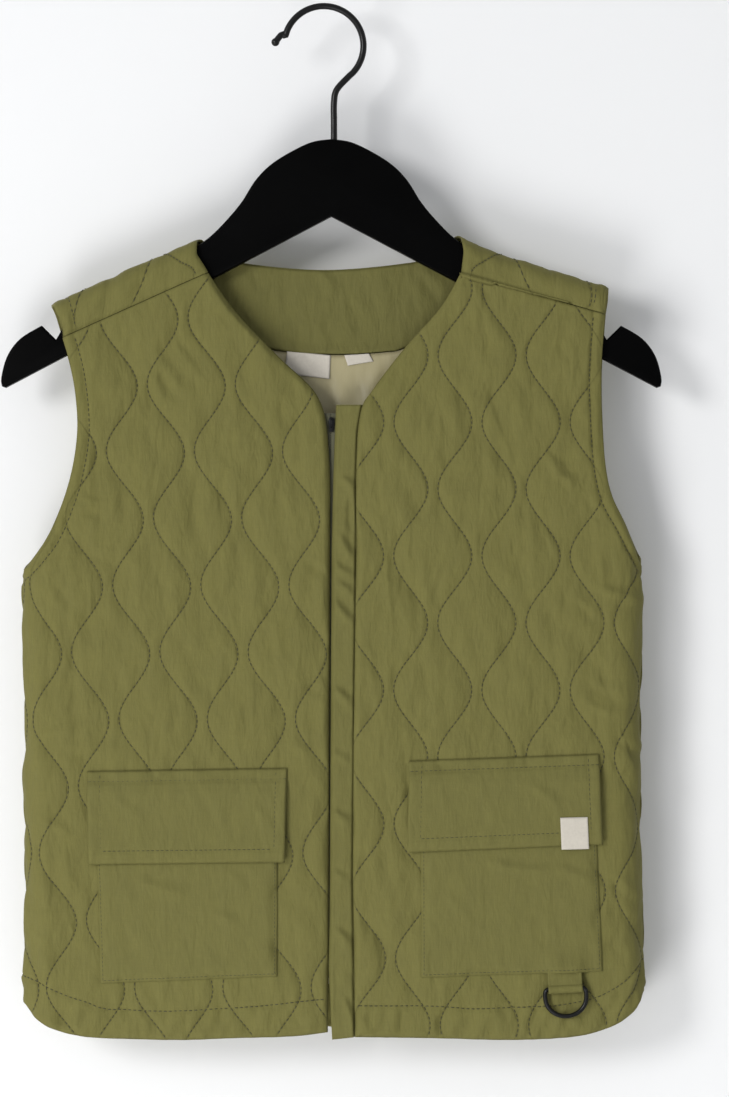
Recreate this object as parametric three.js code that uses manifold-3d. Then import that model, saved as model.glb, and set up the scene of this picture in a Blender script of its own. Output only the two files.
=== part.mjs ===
// A child's quilted vest on its hanger.
// Millimetres, +Z up, the front faces -Y and +X is the wearer's left.
// The origin is the underside of the hook's top, where the hanger rests on a rail.
import * as THREE from 'three';
import { mergeVertices } from 'three/addons/utils/BufferGeometryUtils.js';
import Module from 'manifold-3d';

const wasm = await Module();
wasm.setup();

// Driving dimensions of the cloth
const gap = 0.3; // between two pieces at a seam or where one lies on another
const wall = 2.0; // quilted cloth
const quiltRise = 1.6; // how far the fullest quilted cell stands out
const plainCloth = 1.0; // facing, lining and placket strip
const pocketCloth = 1.2;
const flapCloth = 1.6;
const labelCloth = 0.6;
const sideRound = 12; // radius of the inside of the rounded side, seen from above
const seamRound = 24; // length of the cloth round that side, from the flat to the seam
const seamAllowance = 3; // cloth past the seam before it is cut
const gather = 0.05; // share that is kept of the cloth beyond that

// The garment's inside at each height: x of its two sides and half its depth
const sections = [
  { z: -100, left: -170.0, right: 181.6, depth: 7.4 },
  { z: -190, left: -170.0, right: 181.6, depth: 7.6 },
  { z: -325, left: -170.4, right: 181.6, depth: 11.5 },
  { z: -450, left: -169.8, right: 181.0, depth: 13.5 },
  { z: -550, left: -169.6, right: 183.0, depth: 14.0 },
  { z: -620, left: -169.6, right: 184.0, depth: 13.0 },
];

// The inside of the cloth's ridge over the hanger, from shoulder to shoulder
const ridge = [
  { x: -190, z: -188.4 },
  { x: -157, z: -173.2 },
  { x: -99, z: -147.4 },
  { x: -75, z: -136.8 },
  { x: -66, z: -129.4 },
  { x: 4, z: -95.0 },
  { x: 74, z: -127.6 },
  { x: 83, z: -135.4 },
  { x: 125, z: -151.0 },
  { x: 165, z: -163.2 },
  { x: 190, z: -170.4 },
];
const rollRadius = 7.4; // inside of the roll over the shoulder
const wrapLength = 34; // how far the back's cloth runs down the front, before it is cut

// Quilting: wave lines in mirror pairs, so that cells and necks alternate
const quiltSpacing = 25.4;
const quiltSwing = 9.8;
const quiltPeriod = 77.2;
const tipSharpness = 0.3; // 1 gives straight zigzags, near 0 a plain wave
const columnsPerCell = 3;
const rowsPerPeriod = 6;
// Where a neck of the pattern lies on each panel, and how far its lines lean
const quilting = {
  back: { neck: 0, row: -300, lean: 0 },
  right: { neck: -106.0, row: -295.4, lean: -0.05 },
  left: { neck: 32.5, row: -239.5, lean: 0 },
};

// Hanger, half of it from its middle out to the tip
const hangerMiddle = 5.0;
const hangerThickness = 10;
const hangerBevel = 2.0;
const armTop = [
  { out: 0, z: -75.5 },
  { out: 11, z: -77.1 },
  { out: 23, z: -82.6 },
  { out: 35, z: -90.2 },
  { out: 44, z: -99.4 },
  { out: 52, z: -112.0 },
  { out: 61, z: -122.8 },
  { out: 70, z: -131.8 },
  { out: 79, z: -138.5 },
];
const notchTop = { out: 150, z: -175.3 };
const notchBottom = { out: 159.3, z: -191.6 };
const tipTop = { out: 167.6, z: -183.4 };
const tipRound = [
  { out: 180, z: -191.0 },
  { out: 187.5, z: -201.0 },
  { out: 191, z: -213.4 },
  { out: 190.6, z: -218.6 },
];
const armUnder = { out: 188.6, z: -219.3 };
const archTop = -120.1;
const bevelInset = 0.5; // of the bevel, as a share of its depth

// Hook of round wire
const wireDiameter = 3.8;
const hookRadius = 23; // of the wire's middle line
const ballRadius = 2.4;
const stemX = 6.5;
const stemDepth = 9; // of the stem inside the hanger's socket
const stemFoot = 1; // from the stem's end to the foot of the socket
const hookArc = { from: -52, to: 166 }; // degrees round the middle, from the stem's side
const wireSegments = 5; // in each half of the wire's round section

// Ring and its tab
const ringMiddle = 139.6;
const ringTilt = THREE.MathUtils.degToRad(3); // the bar rises towards the wearer's left
const barHeight = -565.2;
const ringWire = 2.6;
const ringWidth = 26.2; // over the wires
const ringDrop = 17.2; // from the bar's middle line to the outside of the bow
const ringCorner = 2.4; // length of the corners at the bar's ends
const cornerEase = 0.3; // how far a corner's middle lies in, as a share of its length
const bowShare = 0.92; // height of the bow's round, as a share of half the ring's width
const tabTape = 1.0;
const tabPlay = 0.5; // between the bar and the tape round it
const tabWidth = 19.6;
const tabLayersUp = 7.4; // of the two layers, above the bar
const layerGap = 0.2; // between the two layers

// A smooth line through a table: the value of its column key where its column across is at
function smoothValue(rows, across, key, at) {
  const last = rows.length - 1;
  const rising = rows[last][across] > rows[0][across];
  let i = 0;
  while (i < last - 1 && (rising ? at > rows[i + 1][across] : at < rows[i + 1][across])) i += 1;
  const slope = (a, b) => (rows[b][key] - rows[a][key]) / (rows[b][across] - rows[a][across]);
  const start = slope(Math.max(i - 1, 0), i + 1);
  const end = slope(i, Math.min(i + 2, last));
  const span = rows[i + 1][across] - rows[i][across];
  const t = THREE.MathUtils.clamp((at - rows[i][across]) / span, 0, 1);
  return (2 * t ** 3 - 3 * t ** 2 + 1) * rows[i][key]
    + (t ** 3 - 2 * t ** 2 + t) * span * start
    + (3 * t ** 2 - 2 * t ** 3) * rows[i + 1][key]
    + (t ** 3 - t ** 2) * span * end;
}

// The garment's inside at height z: its middle, half of its flat width and half its depth
function sectionAt(z) {
  const left = smoothValue(sections, 'z', 'left', z);
  const right = smoothValue(sections, 'z', 'right', z);
  return {
    middle: (left + right) / 2,
    flat: (right - left) / 2 - sideRound,
    depth: smoothValue(sections, 'z', 'depth', z),
  };
}

// A place s along the cloth from the middle, at a distance out from the garment's inside
function roundSection(s, z, out) {
  const { middle, flat, depth } = sectionAt(z);
  const side = Math.sign(s);
  const past = Math.abs(s) - flat;
  if (past <= 0) return { x: middle + s, cosine: 1, depth: depth + out };
  const angle = (past / seamRound) * (Math.PI / 2);
  const x = middle + side * (flat + (sideRound + out) * Math.sin(angle));
  return { x, cosine: Math.cos(angle), depth: depth + out };
}

function frontPoint(s, z, out) {
  const { x, cosine, depth } = roundSection(s, z, out);
  return new THREE.Vector3(x, -depth * cosine, z);
}

function backPoint(s, height, out) {
  const { x, cosine, depth } = roundSection(s, height, out);
  const rollStart = smoothValue(ridge, 'x', 'z', x) - rollRadius;
  const rise = height - rollStart;
  if (rise <= 0) return new THREE.Vector3(x, depth * cosine, height);
  const rollLength = Math.PI * rollRadius;
  const radius = rollRadius + out;
  if (rise >= rollLength) {
    return new THREE.Vector3(x, -radius * cosine, rollStart - (rise - rollLength));
  }
  const angle = rise / rollRadius;
  return new THREE.Vector3(x, radius * Math.cos(angle) * cosine, rollStart + radius * Math.sin(angle));
}

// A wave with rounded tips, from -1 to 1
function ogeeWave(turns) {
  return Math.asin(tipSharpness * Math.cos(2 * Math.PI * turns)) / Math.asin(tipSharpness);
}

function quiltLine(pattern, k, z) {
  const swing = (k % 2 === 0 ? 1 : -1) * quiltSwing;
  const start = pattern.neck - quiltSpacing / 2 + pattern.lean * (z - pattern.row);
  return start + k * quiltSpacing + swing * ogeeWave((z - pattern.row) / quiltPeriod);
}

// Where a quilted column lies, and how far it stands out of the wall
function quiltColumn(pattern, column, z) {
  const k = Math.floor(column / columnsPerCell);
  const share = column / columnsPerCell - k;
  const from = quiltLine(pattern, k, z);
  const to = quiltLine(pattern, k + 1, z);
  const fullest = quiltSpacing + 2 * quiltSwing;
  const rise = quiltRise * Math.sqrt((to - from) / fullest) * Math.sin(Math.PI * share);
  return { s: from + (to - from) * share, rise };
}

// Past the seam the cloth is only cut away, so it is gathered into a short stretch there
function holdAtSeam(s, z) {
  const limit = sectionAt(z).flat + seamRound + seamAllowance;
  const past = Math.abs(s) - limit;
  return past > 0 ? Math.sign(s) * (limit + gather * past) : s;
}

// A closed wall between an outer and an inner grid, which may be of different fineness
function wallBetween(outer, inner) {
  const points = [];
  const faces = [];
  const lay = (grid) => grid.map((row) => row.map((point) => points.push(point) - 1));
  const outerIds = lay(outer);
  const innerIds = lay(inner);
  const skin = (ids, flip) => {
    for (let j = 0; j + 1 < ids.length; j += 1) {
      for (let i = 0; i + 1 < ids[0].length; i += 1) {
        const [a, b, c, d] = [ids[j][i], ids[j][i + 1], ids[j + 1][i + 1], ids[j + 1][i]];
        if (flip) faces.push([a, c, b], [a, d, c]);
        else faces.push([a, b, c], [a, c, d]);
      }
    }
  };
  const edge = (a, b) => {
    let i = 0;
    let j = 0;
    while (i < a.length - 1 || j < b.length - 1) {
      const stepA = (i + 1) / (a.length - 1);
      const stepB = (j + 1) / (b.length - 1);
      if (j === b.length - 1 || (i < a.length - 1 && stepA <= stepB)) {
        faces.push([a[i + 1], a[i], b[j]]);
        i += 1;
      } else {
        faces.push([a[i], b[j], b[j + 1]]);
        j += 1;
      }
    }
  };
  skin(outerIds, false);
  skin(innerIds, true);
  const side = (ids, i) => ids.map((row) => row[i]);
  edge(outerIds[0], innerIds[0]);
  edge(side(outerIds, outerIds[0].length - 1), side(innerIds, innerIds[0].length - 1));
  edge([...outerIds.at(-1)].reverse(), [...innerIds.at(-1)].reverse());
  edge(side(outerIds, 0).reverse(), side(innerIds, 0).reverse());
  const geometry = new THREE.BufferGeometry();
  geometry.setFromPoints(points);
  geometry.setIndex(faces.flat());
  return geometry;
}

function toSolid(geometry) {
  const plain = geometry.clone();
  plain.deleteAttribute('normal');
  plain.deleteAttribute('uv');
  const merged = mergeVertices(plain, 1e-4);
  const vertProperties = Float32Array.from(merged.attributes.position.array);
  const triVerts = Uint32Array.from(merged.index.array);
  return new wasm.Manifold(new wasm.Mesh({ numProp: 3, vertProperties, triVerts }));
}

function toGeometry(solid) {
  const mesh = solid.getMesh();
  const geometry = new THREE.BufferGeometry();
  const positions = [];
  for (let i = 0; i < mesh.vertProperties.length; i += mesh.numProp) {
    positions.push(...mesh.vertProperties.slice(i, i + 3));
  }
  geometry.setAttribute('position', new THREE.Float32BufferAttribute(positions, 3));
  geometry.setIndex([...mesh.triVerts]);
  const flat = geometry.toNonIndexed();
  flat.computeVertexNormals();
  return flat;
}

// A cutter with an outline seen from the front, reaching from one y to another
function frontCutter(outline, fromY, toY, curveSteps = 1) {
  const geometry = new THREE.ExtrudeGeometry(outline, {
    depth: toY - fromY,
    steps: 1,
    bevelEnabled: false,
    curveSegments: curveSteps,
  });
  geometry.rotateX(Math.PI / 2);
  geometry.translate(0, toY, 0);
  return toSolid(geometry);
}

// An outline from runs of points, where a run marked curved is drawn as one smooth line
function outlineFrom(runs, step = 9) {
  const points = [];
  for (const { curved, rows } of runs) {
    const corners = rows.map(([x, z]) => new THREE.Vector2(x, z));
    if (!curved) {
      points.push(...corners);
      continue;
    }
    const line = new THREE.SplineCurve(corners);
    const pieces = Math.max(2, Math.round(line.getLength() / step));
    points.push(...line.getSpacedPoints(pieces));
  }
  const distinct = points.filter((p, i) => i === 0 || p.distanceTo(points[i - 1]) > 0.01);
  if (distinct[0].distanceTo(distinct.at(-1)) < 0.01) distinct.pop();
  return new THREE.Shape(distinct);
}

function steps(from, to, count) {
  return Array.from({ length: count + 1 }, (_, i) => from + ((to - from) * i) / count);
}

const hemPast = -606; // below the hem, where the walls are cut off
const bodyTop = -112; // above the shoulders
const halfGap = gap / 2;
const seamDrop = 0.6 * gap; // upright share of the gap at a sloping shoulder seam
const insideRows = 16; // of the plain inside, from the hem up
const sideColumns = 6; // round each side, and across a front's flat inside
const sidePast = 204; // beyond both sides, where the cutters end
const clear = 45; // how far a cutter reaches past the cloth in y
const armFoot = -326; // below the armholes' lowest points

// Seen from the front, x then z of each outline, down the left of the picture and back up
const rightNeckEdge = [
  [-75.3, -128.0], [-66.1, -152.9], [-50.5, -175.3], [-24.9, -202.1], [-11.0, -214.8],
  [-3.4, -223.7], [1.3, -235.7], [3.3, -251.9], [4.4, -275.0], [4.3, -311.0],
];
const leftNeckEdge = [
  [83.4, -128.0], [79.5, -153.0], [68.7, -172.5], [48.6, -195.3], [37.9, -208.6],
  [28.8, -221.0], [23.0, -230.0], [20.3, -246.0], [19.4, -274.7],
];
const rightArmEdge = [
  [-156.6, -166.0], [-149.4, -185.4], [-144.6, -211.0], [-141.6, -236.0], [-142.5, -255.0],
  [-146.4, -274.5], [-152.6, -292.6], [-160.4, -308.6], [-172.9, -325.0],
];
const leftArmEdge = [
  [166.2, -154.0], [163.8, -176.6], [160.9, -210.0], [161.6, -243.5], [163.6, -267.0],
  [167.4, -283.0], [175.6, -300.0], [184.6, -323.0],
];
const backNeckEdge = [
  [-75.3, -128.0], [-64.0, -139.6], [-41.8, -147.0], [3.0, -150.4], [51.6, -146.0],
  [73.0, -138.6], [83.4, -128.0],
];
const rightHem = [
  [-sidePast, -574.7], [-172.2, -574.7], [-167.3, -581.5], [-156.5, -588.6], [-136.5, -593.6],
  [-105.5, -595.0], [-78.8, -595.4], [-51.8, -594.4], [-18.2, -593.4], [3.1, -591.0],
];
const leftHem = [
  [20.0, -593.8], [64.7, -594.4], [104.7, -595.4], [135.7, -594.4], [155.0, -591.6],
  [171.9, -585.0], [181.6, -576.6], [186.2, -567.6], [sidePast, -567.6],
];
const rightSeamLine = { inner: [-66.1, -152.9], outer: [-150.2, -190.6] };
const leftSeamLine = { inner: [79.5, -153.4], outer: [163.2, -177.1] };
const backArmEase = 1.4; // the back's armhole edge stands this far outside the front's

// x of an edge at height z, on the straight lines between its points
function edgeAt(rows, z) {
  const i = Math.max(1, rows.findIndex(([, height]) => height <= z));
  const [a, b] = [rows[i - 1], rows[i]];
  return a[0] + ((b[0] - a[0]) * (a[1] - z)) / (a[1] - b[1]);
}

const below = (rows, z) => rows.filter(([, height]) => height < z);
const above = (rows, z) => rows.filter(([, height]) => height > z);
const shifted = (rows, dx, dz = 0) => rows.map(([x, z]) => [x + dx, z + dz]);

// A quilted front: its wall, cut to its outline in front of the side seam
function quiltedFront(pattern, fromCell, toCell, outline) {
  const rows = Math.round(((bodyTop - hemPast) / quiltPeriod) * rowsPerPeriod);
  const columns = steps(fromCell * columnsPerCell, toCell * columnsPerCell,
    (toCell - fromCell) * columnsPerCell);
  const outer = steps(hemPast, bodyTop, rows).map((z) => columns.map((column) => {
    const { s, rise } = quiltColumn(pattern, column, z);
    return frontPoint(holdAtSeam(s, z), z, wall + rise);
  }));
  const inner = steps(hemPast, bodyTop, insideRows).map((z) => {
    const ends = [fromCell, toCell].map((k) => holdAtSeam(quiltLine(pattern, k, z), z));
    return insideColumns(ends[0], ends[1], z).map((s) => frontPoint(s, z, 0));
  });
  return toSolid(wallBetween(outer, inner)).intersect(frontCutter(outline, -clear, -halfGap));
}

// Places across the inside: wide steps on the flat, short ones round a side
function insideColumns(from, to, z) {
  const { flat } = sectionAt(z);
  const start = from < -flat ? steps(from, -flat, sideColumns).slice(0, -1) : [];
  const end = to > flat ? steps(flat, to, sideColumns).slice(1) : [];
  return [...start, ...steps(Math.max(from, -flat), Math.min(to, flat), sideColumns), ...end];
}

function frontRight() {
  const { inner, outer } = rightSeamLine;
  const outline = outlineFrom([
    { rows: [[inner[0], inner[1] - seamDrop]] },
    { rows: [[outer[0], outer[1] - seamDrop]] },
    { curved: true, rows: [[outer[0], outer[1] - seamDrop], ...below(rightArmEdge, outer[1] - 5)] },
    { rows: [[-sidePast, armFoot]] },
    { curved: true, rows: rightHem },
    { rows: [[3.5, -528.5], [4.3, -311]] },
    { curved: true, rows: [...below(rightNeckEdge, inner[1] - 1)].reverse() },
    { rows: [[inner[0], inner[1] - seamDrop]] },
  ]);
  return quiltedFront(quilting.right, -4, 6, outline);
}

function frontLeft() {
  const { inner, outer } = leftSeamLine;
  const outline = outlineFrom([
    { rows: [[inner[0], inner[1] - seamDrop]] },
    { curved: true, rows: [[inner[0], inner[1] - seamDrop], ...below(leftNeckEdge, inner[1] - 1)] },
    { rows: [[19.6, -308], [17.9, -423], [17.6, -503.7], [18.4, -560]] },
    { curved: true, rows: leftHem },
    { rows: [[sidePast, armFoot]] },
    { curved: true, rows: below(leftArmEdge, outer[1] - 4).reverse() },
    { rows: [[outer[0], outer[1] - seamDrop]] },
  ]);
  return quiltedFront(quilting.left, -2, 7, outline);
}

// The back wraps over the shoulders, so it is cut by one outline behind and one in front
function backPanel() {
  const pattern = quilting.back;
  const [fromCell, toCell] = [-8, 9];
  const shoulderFall = 50; // from the neck's height to the middle of the shoulders
  const bodyRows = Math.round(((bodyTop - shoulderFall - hemPast) / quiltPeriod) * rowsPerPeriod);
  const rollRows = 7;
  const wrapRows = 4;
  const heights = (x, count, rolls, wraps) => {
    const start = smoothValue(ridge, 'x', 'z', x) - rollRadius;
    const roll = start + Math.PI * rollRadius;
    return [
      ...steps(hemPast, start, count),
      ...steps(start, roll, rolls).slice(1),
      ...steps(roll, roll + wrapLength, wraps).slice(1),
    ];
  };
  const columns = steps(fromCell * columnsPerCell, toCell * columnsPerCell,
    (toCell - fromCell) * columnsPerCell);
  const rowCount = bodyRows + rollRows + wrapRows;
  const middle = sectionAt(bodyTop).middle;
  const outer = steps(0, rowCount, rowCount).map((row) => columns.map((column) => {
    const mean = quiltColumn(pattern, column, pattern.row + quiltPeriod / 4).s;
    const height = heights(middle + mean, bodyRows, rollRows, wrapRows)[row];
    const { s, rise } = quiltColumn(pattern, column, height);
    return backPoint(holdAtSeam(s, height), height, wall + rise);
  }));
  const insideCount = insideRows + rollRows + wrapRows;
  const inner = steps(0, insideCount, insideCount).map((row) => {
    const level = sectionAt(bodyTop);
    const reach = level.flat + seamRound + seamAllowance;
    const across = [
      ...steps(-reach, -level.flat, sideColumns).slice(0, -1),
      ...steps(-level.flat, level.flat, 2 * sideColumns),
      ...steps(level.flat, reach, sideColumns).slice(1),
    ];
    return across.map((s) => {
      const held = THREE.MathUtils.clamp(s, -level.flat, level.flat);
      const height = heights(level.middle + held, insideRows, rollRows, wrapRows)[row];
      return backPoint(s, height, 0);
    });
  });
  const behind = outlineFrom([
    { curved: true, rows: backNeckEdge },
    { rows: [[170, -120], [leftArmEdge[0][0] + 0.3, leftArmEdge[0][1]]] },
    { curved: true, rows: shifted(leftArmEdge, backArmEase) },
    { rows: [[sidePast, armFoot]] },
    { curved: true, rows: [...leftHem].reverse() },
    { curved: true, rows: [...rightHem].reverse() },
    { rows: [[-sidePast, armFoot]] },
    { curved: true, rows: shifted([...rightArmEdge].reverse(), -backArmEase) },
    { rows: [[-165, -120]] },
  ]);
  const wrapOutline = (seam, neckEdge, armEdge, ease) => outlineFrom([
    { rows: [neckEdge[0], [neckEdge[0][0], -115], [armEdge[0][0] + ease, -115]] },
    { rows: above(shifted(armEdge, ease), seam.outer[1] + 1) },
    { rows: [[edgeAt(armEdge, seam.outer[1]) + ease, seam.outer[1] + seamDrop]] },
    { rows: [[seam.inner[0], seam.inner[1] + seamDrop]] },
  ]);
  const wholeBack = toSolid(wallBetween(outer.map((r) => [...r].reverse()),
    inner.map((r) => [...r].reverse())));
  const rightWrap = wrapOutline(rightSeamLine, rightNeckEdge, rightArmEdge, -backArmEase);
  const leftWrap = wrapOutline(leftSeamLine, leftNeckEdge, leftArmEdge, backArmEase);
  const lap = 1; // the cutters run this far into each other over the ridge
  const cutter = frontCutter(behind, halfGap, clear)
    .add(frontCutter(rightWrap, -clear, halfGap + lap))
    .add(frontCutter(leftWrap, -clear, halfGap + lap));
  return wholeBack.intersect(cutter);
}

// A plain piece that follows the front or the back between two distances from the inside
function plainPiece(pointAt, outline, near, far, columns = 8, rows = 8) {
  const box = new THREE.Box2().setFromPoints(outline.getPoints());
  const margin = 2;
  const middle = sectionAt((box.min.y + box.max.y) / 2).middle;
  const grid = (out) => steps(box.min.y - margin, box.max.y + margin, rows).map((z) => (
    steps(box.min.x - margin, box.max.x + margin, columns)
      .map((x) => pointAt(x - middle, z, typeof out === 'function' ? out(z) : out))
  ));
  const isFront = pointAt === frontPoint;
  const turned = (g) => (isFront ? g : g.map((r) => [...r].reverse()));
  const solid = toSolid(wallBetween(turned(grid(far)), turned(grid(near))));
  return solid.intersect(frontCutter(outline, -clear, clear));
}

const facingLower = [
  [-88.0, -176.0], [-60.0, -187.0], [-27.6, -196.8], [8.0, -199.4], [38.5, -197.6], [48.0, -195.4],
  [96.0, -178.0],
];

const neckTurn = 0.8; // the back's edge shows this far above the facing

function backNeckFacing() {
  const outline = outlineFrom([
    { rows: [[-88, -158], [-64, -145.5]] },
    { curved: true, rows: shifted(backNeckEdge.slice(2, -2), 0, -neckTurn) },
    { rows: [[73, -144.5], [96, -156]] },
    { curved: true, rows: [...facingLower].reverse() },
  ]);
  return plainPiece(backPoint, outline, -gap - plainCloth, -gap, 14, 8);
}

function backLining() {
  const inset = 7;
  const outline = outlineFrom([
    { rows: [[-138, -200], [-96, -178.4]] },
    { curved: true, rows: shifted(facingLower, 0, -2 * gap) },
    { rows: [[104, -180], [153, -205]] },
    { curved: true, rows: shifted(below(leftArmEdge, -200).slice(0, -1), -inset) },
    { rows: [[166, -340], [168, -566]] },
    { rows: [[-154, -566], [-153, -340]] },
    { curved: true, rows: shifted(below(rightArmEdge, -200).slice(0, -1), inset).reverse() },
  ]);
  return plainPiece(backPoint, outline, -gap - plainCloth, -gap, 16, 14);
}

// Strip behind the left front, with its free edge beside the right front's edge
const stripReach = 31; // x of the edge that is hidden behind the left front
const stripTop = -229.5;

function placketStrip() {
  const outline = outlineFrom([
    { rows: [[7.7, stripTop], [stripReach, stripTop], [stripReach, -592.5], [5.6, -595.2]] },
    { rows: [[3.2, -553.6], [4.0, -528.5], [5.2, -311.5], [6.2, -270]] },
  ]);
  return plainPiece(frontPoint, outline, -gap - plainCloth, -gap, 6, 20);
}

const tapeBack = -gap - plainCloth - gap - plainCloth;
const tape = { left: -5, right: 14, top: -234.3, foot: -560 };

function zipTape() {
  const outline = outlineFrom([
    {
      rows: [
        [tape.left, tape.top], [tape.right, tape.top], [tape.right, tape.foot], [tape.left, tape.foot],
      ],
    },
  ]);
  return plainPiece(frontPoint, outline, tapeBack, tapeBack + plainCloth, 4, 14);
}

function zipSlider() {
  const height = 8.4;
  const thickness = 1.4;
  const half = { foot: 1.26, shoulder: 1.8, nose: 1.08 }; // half widths, from below up
  const shoulderAt = height / 4;
  const body = new THREE.Shape();
  body.moveTo(-half.foot, -height / 2);
  body.lineTo(half.foot, -height / 2);
  body.lineTo(half.shoulder, shoulderAt);
  body.lineTo(half.nose, height / 2);
  body.lineTo(-half.nose, height / 2);
  body.lineTo(-half.shoulder, shoulderAt);
  const bevel = 0.3;
  const geometry = new THREE.ExtrudeGeometry(body, {
    depth: thickness - 2 * bevel, bevelSize: bevel, bevelThickness: bevel, bevelOffset: -bevel,
    bevelSegments: 2, steps: 1,
  });
  geometry.rotateX(Math.PI / 2);
  const place = { x: 5.1, z: -240.9 };
  const front = frontPoint(place.x - sectionAt(place.z).middle, place.z, tapeBack + plainCloth);
  geometry.translate(place.x, front.y - gap - bevel, place.z);
  return toSolid(geometry);
}

// Pockets: a bag laid on the front, and a flap over it that stands a little away at its foot
const bagNear = wall + quiltRise + gap;
const bagFar = bagNear + pocketCloth;
const flapOver = bagFar + gap;
const flapStand = 1.2; // how far the flap's foot stands off the bag
const flapSeam = 3; // below the flap's top, where it starts to rise over the bag
const flapRise = 9; // height in which it does so
const flapSwing = 42; // height below that, in which it comes to stand off
const pockets = {
  right: {
    bag: [[-130.6, -455], [-25.2, -454], [-26.7, -558.5], [-128.4, -562.6]],
    flap: [[-135.0, -440.6], [-19.8, -438.8], [-21.5, -492.8], [-134.4, -494.1]],
  },
  left: {
    bag: [[57.2, -450], [157.0, -449], [160.5, -555.5], [56.2, -559.3]],
    flap: [[50.4, -434.7], [159.8, -430.7], [161.4, -482.5], [49.0, -487.2]],
  },
};

function pocketBag(side) {
  const outline = outlineFrom([{ rows: pockets[side].bag }]);
  return plainPiece(frontPoint, outline, bagNear, bagFar, 8, 8);
}

// How far out the flap's inner face lies, from its seam down to its foot
function flapOut(side, z) {
  const top = pockets[side].flap[0][1];
  const down = THREE.MathUtils.clamp((top - z - flapSeam) / flapRise, 0, 1);
  const foot = THREE.MathUtils.clamp((top - z - flapSeam - flapRise) / flapSwing, 0, 1);
  return THREE.MathUtils.lerp(bagNear, flapOver, down) + flapStand * foot ** 2;
}

function pocketFlap(side) {
  const outline = outlineFrom([{ rows: pockets[side].flap }]);
  const near = (z) => flapOut(side, z);
  return plainPiece(frontPoint, outline, near, (z) => near(z) + flapCloth, 8, 14);
}

// Bare labels, by their corners seen from the front. Two hang from the facing's lower edge,
// and the facing hides the top of the one for the size.
const labels = {
  neck: [[-22.2, -210.8], [3.8, -213.9], [4.5, -200.2], [-20.8, -197.5]],
  size: [[14.5, -206.2], [29.3, -203.7], [26.9, -199.2], [12.4, -200.1]],
  flap: [[137.4, -485.4], [153.2, -485.0], [152.6, -466.6], [136.8, -467.0]],
};

function label(pointAt, corners, near, far) {
  return plainPiece(pointAt, outlineFrom([{ rows: corners }]), near, far, 3, 3);
}

function neckLabel() {
  const far = -gap - plainCloth - gap;
  return label(backPoint, labels.neck, far - labelCloth, far);
}

function sizeLabel() {
  const far = -gap - plainCloth - gap;
  return label(backPoint, labels.size, far - labelCloth, far);
}

function flapLabel() {
  const foot = pockets.left.flap[2][1];
  const near = (z) => flapOut('left', Math.max(z, foot)) + flapCloth + gap;
  return label(frontPoint, labels.flap, near, (z) => near(z) + labelCloth);
}

// Half a hanger's outline, out from the middle, and its mirror
function hangerBody() {
  const half = [
    ...armTop, notchTop, notchBottom, tipTop, ...tipRound, armUnder,
  ].map(({ out, z }) => [out, z]);
  const inset = hangerBevel * bevelInset;
  const right = half.map(([out, z]) => new THREE.Vector2(hangerMiddle + out, z));
  const left = half.slice(1).map(([out, z]) => new THREE.Vector2(hangerMiddle - out, z)).reverse();
  const arch = new THREE.Vector2(hangerMiddle, archTop);
  const outline = new THREE.Shape([...right, arch, ...left]);
  const geometry = new THREE.ExtrudeGeometry(outline, {
    depth: hangerThickness - 2 * hangerBevel,
    steps: 1,
    bevelThickness: hangerBevel,
    bevelSize: inset,
    bevelOffset: -inset,
    bevelSegments: 2,
  });
  geometry.rotateX(Math.PI / 2);
  geometry.translate(0, hangerThickness / 2 - hangerBevel, 0);
  const hole = new THREE.CylinderGeometry(wireDiameter / 2 + gap, wireDiameter / 2 + gap, stemDepth * 2, 24);
  hole.rotateX(Math.PI / 2);
  hole.translate(stemX, 0, armTop[0].z);
  return toSolid(geometry).subtract(toSolid(hole));
}

// The hook: down the stem, back under and round the rail, to a small ball
function hangerHook() {
  const centre = { x: 0.6, z: wireDiameter / 2 - hookRadius };
  const onCircle = (degrees) => {
    const angle = THREE.MathUtils.degToRad(degrees);
    return [centre.x + hookRadius * Math.cos(angle), centre.z + hookRadius * Math.sin(angle)];
  };
  const arc = steps(hookArc.from, hookArc.to, 16).map(onCircle);
  const route = [
    [stemX, armTop[0].z - stemDepth + stemFoot],
    [stemX, -66],
    [stemX, -54],
    [stemX + 1.6, -46.6],
    ...arc,
    [centre.x - hookRadius - 1.2, -14.4],
    [centre.x - hookRadius - 5.0, -19.0],
  ].map(([x, z]) => new THREE.Vector3(x, 0, z));
  const line = new THREE.CatmullRomCurve3(route, false, 'centripetal');
  const section = new THREE.Shape();
  section.absarc(0, 0, wireDiameter / 2, 0, Math.PI * 2);
  const wire = new THREE.ExtrudeGeometry(section, {
    steps: 48, bevelEnabled: false, extrudePath: line, curveSegments: wireSegments,
  });
  const ball = new THREE.SphereGeometry(ballRadius, 14, 10);
  const end = route.at(-1);
  ball.translate(end.x, end.y, end.z);
  return toSolid(wire).add(toSolid(ball));
}

// The ring hangs in front of the cloth, its bar in the tab's loop
const ringY = (() => {
  const cloth = frontPoint(ringMiddle - sectionAt(barHeight).middle, barHeight, wall + quiltRise);
  return cloth.y - gap - tabTape - tabPlay - ringWire / 2;
})();

// From the bar's own place, level at 0, 0, 0, to where it hangs on the vest
function hangOnBar(geometry) {
  geometry.rotateY(-ringTilt);
  geometry.translate(ringMiddle, ringY, barHeight);
  return geometry;
}

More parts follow.
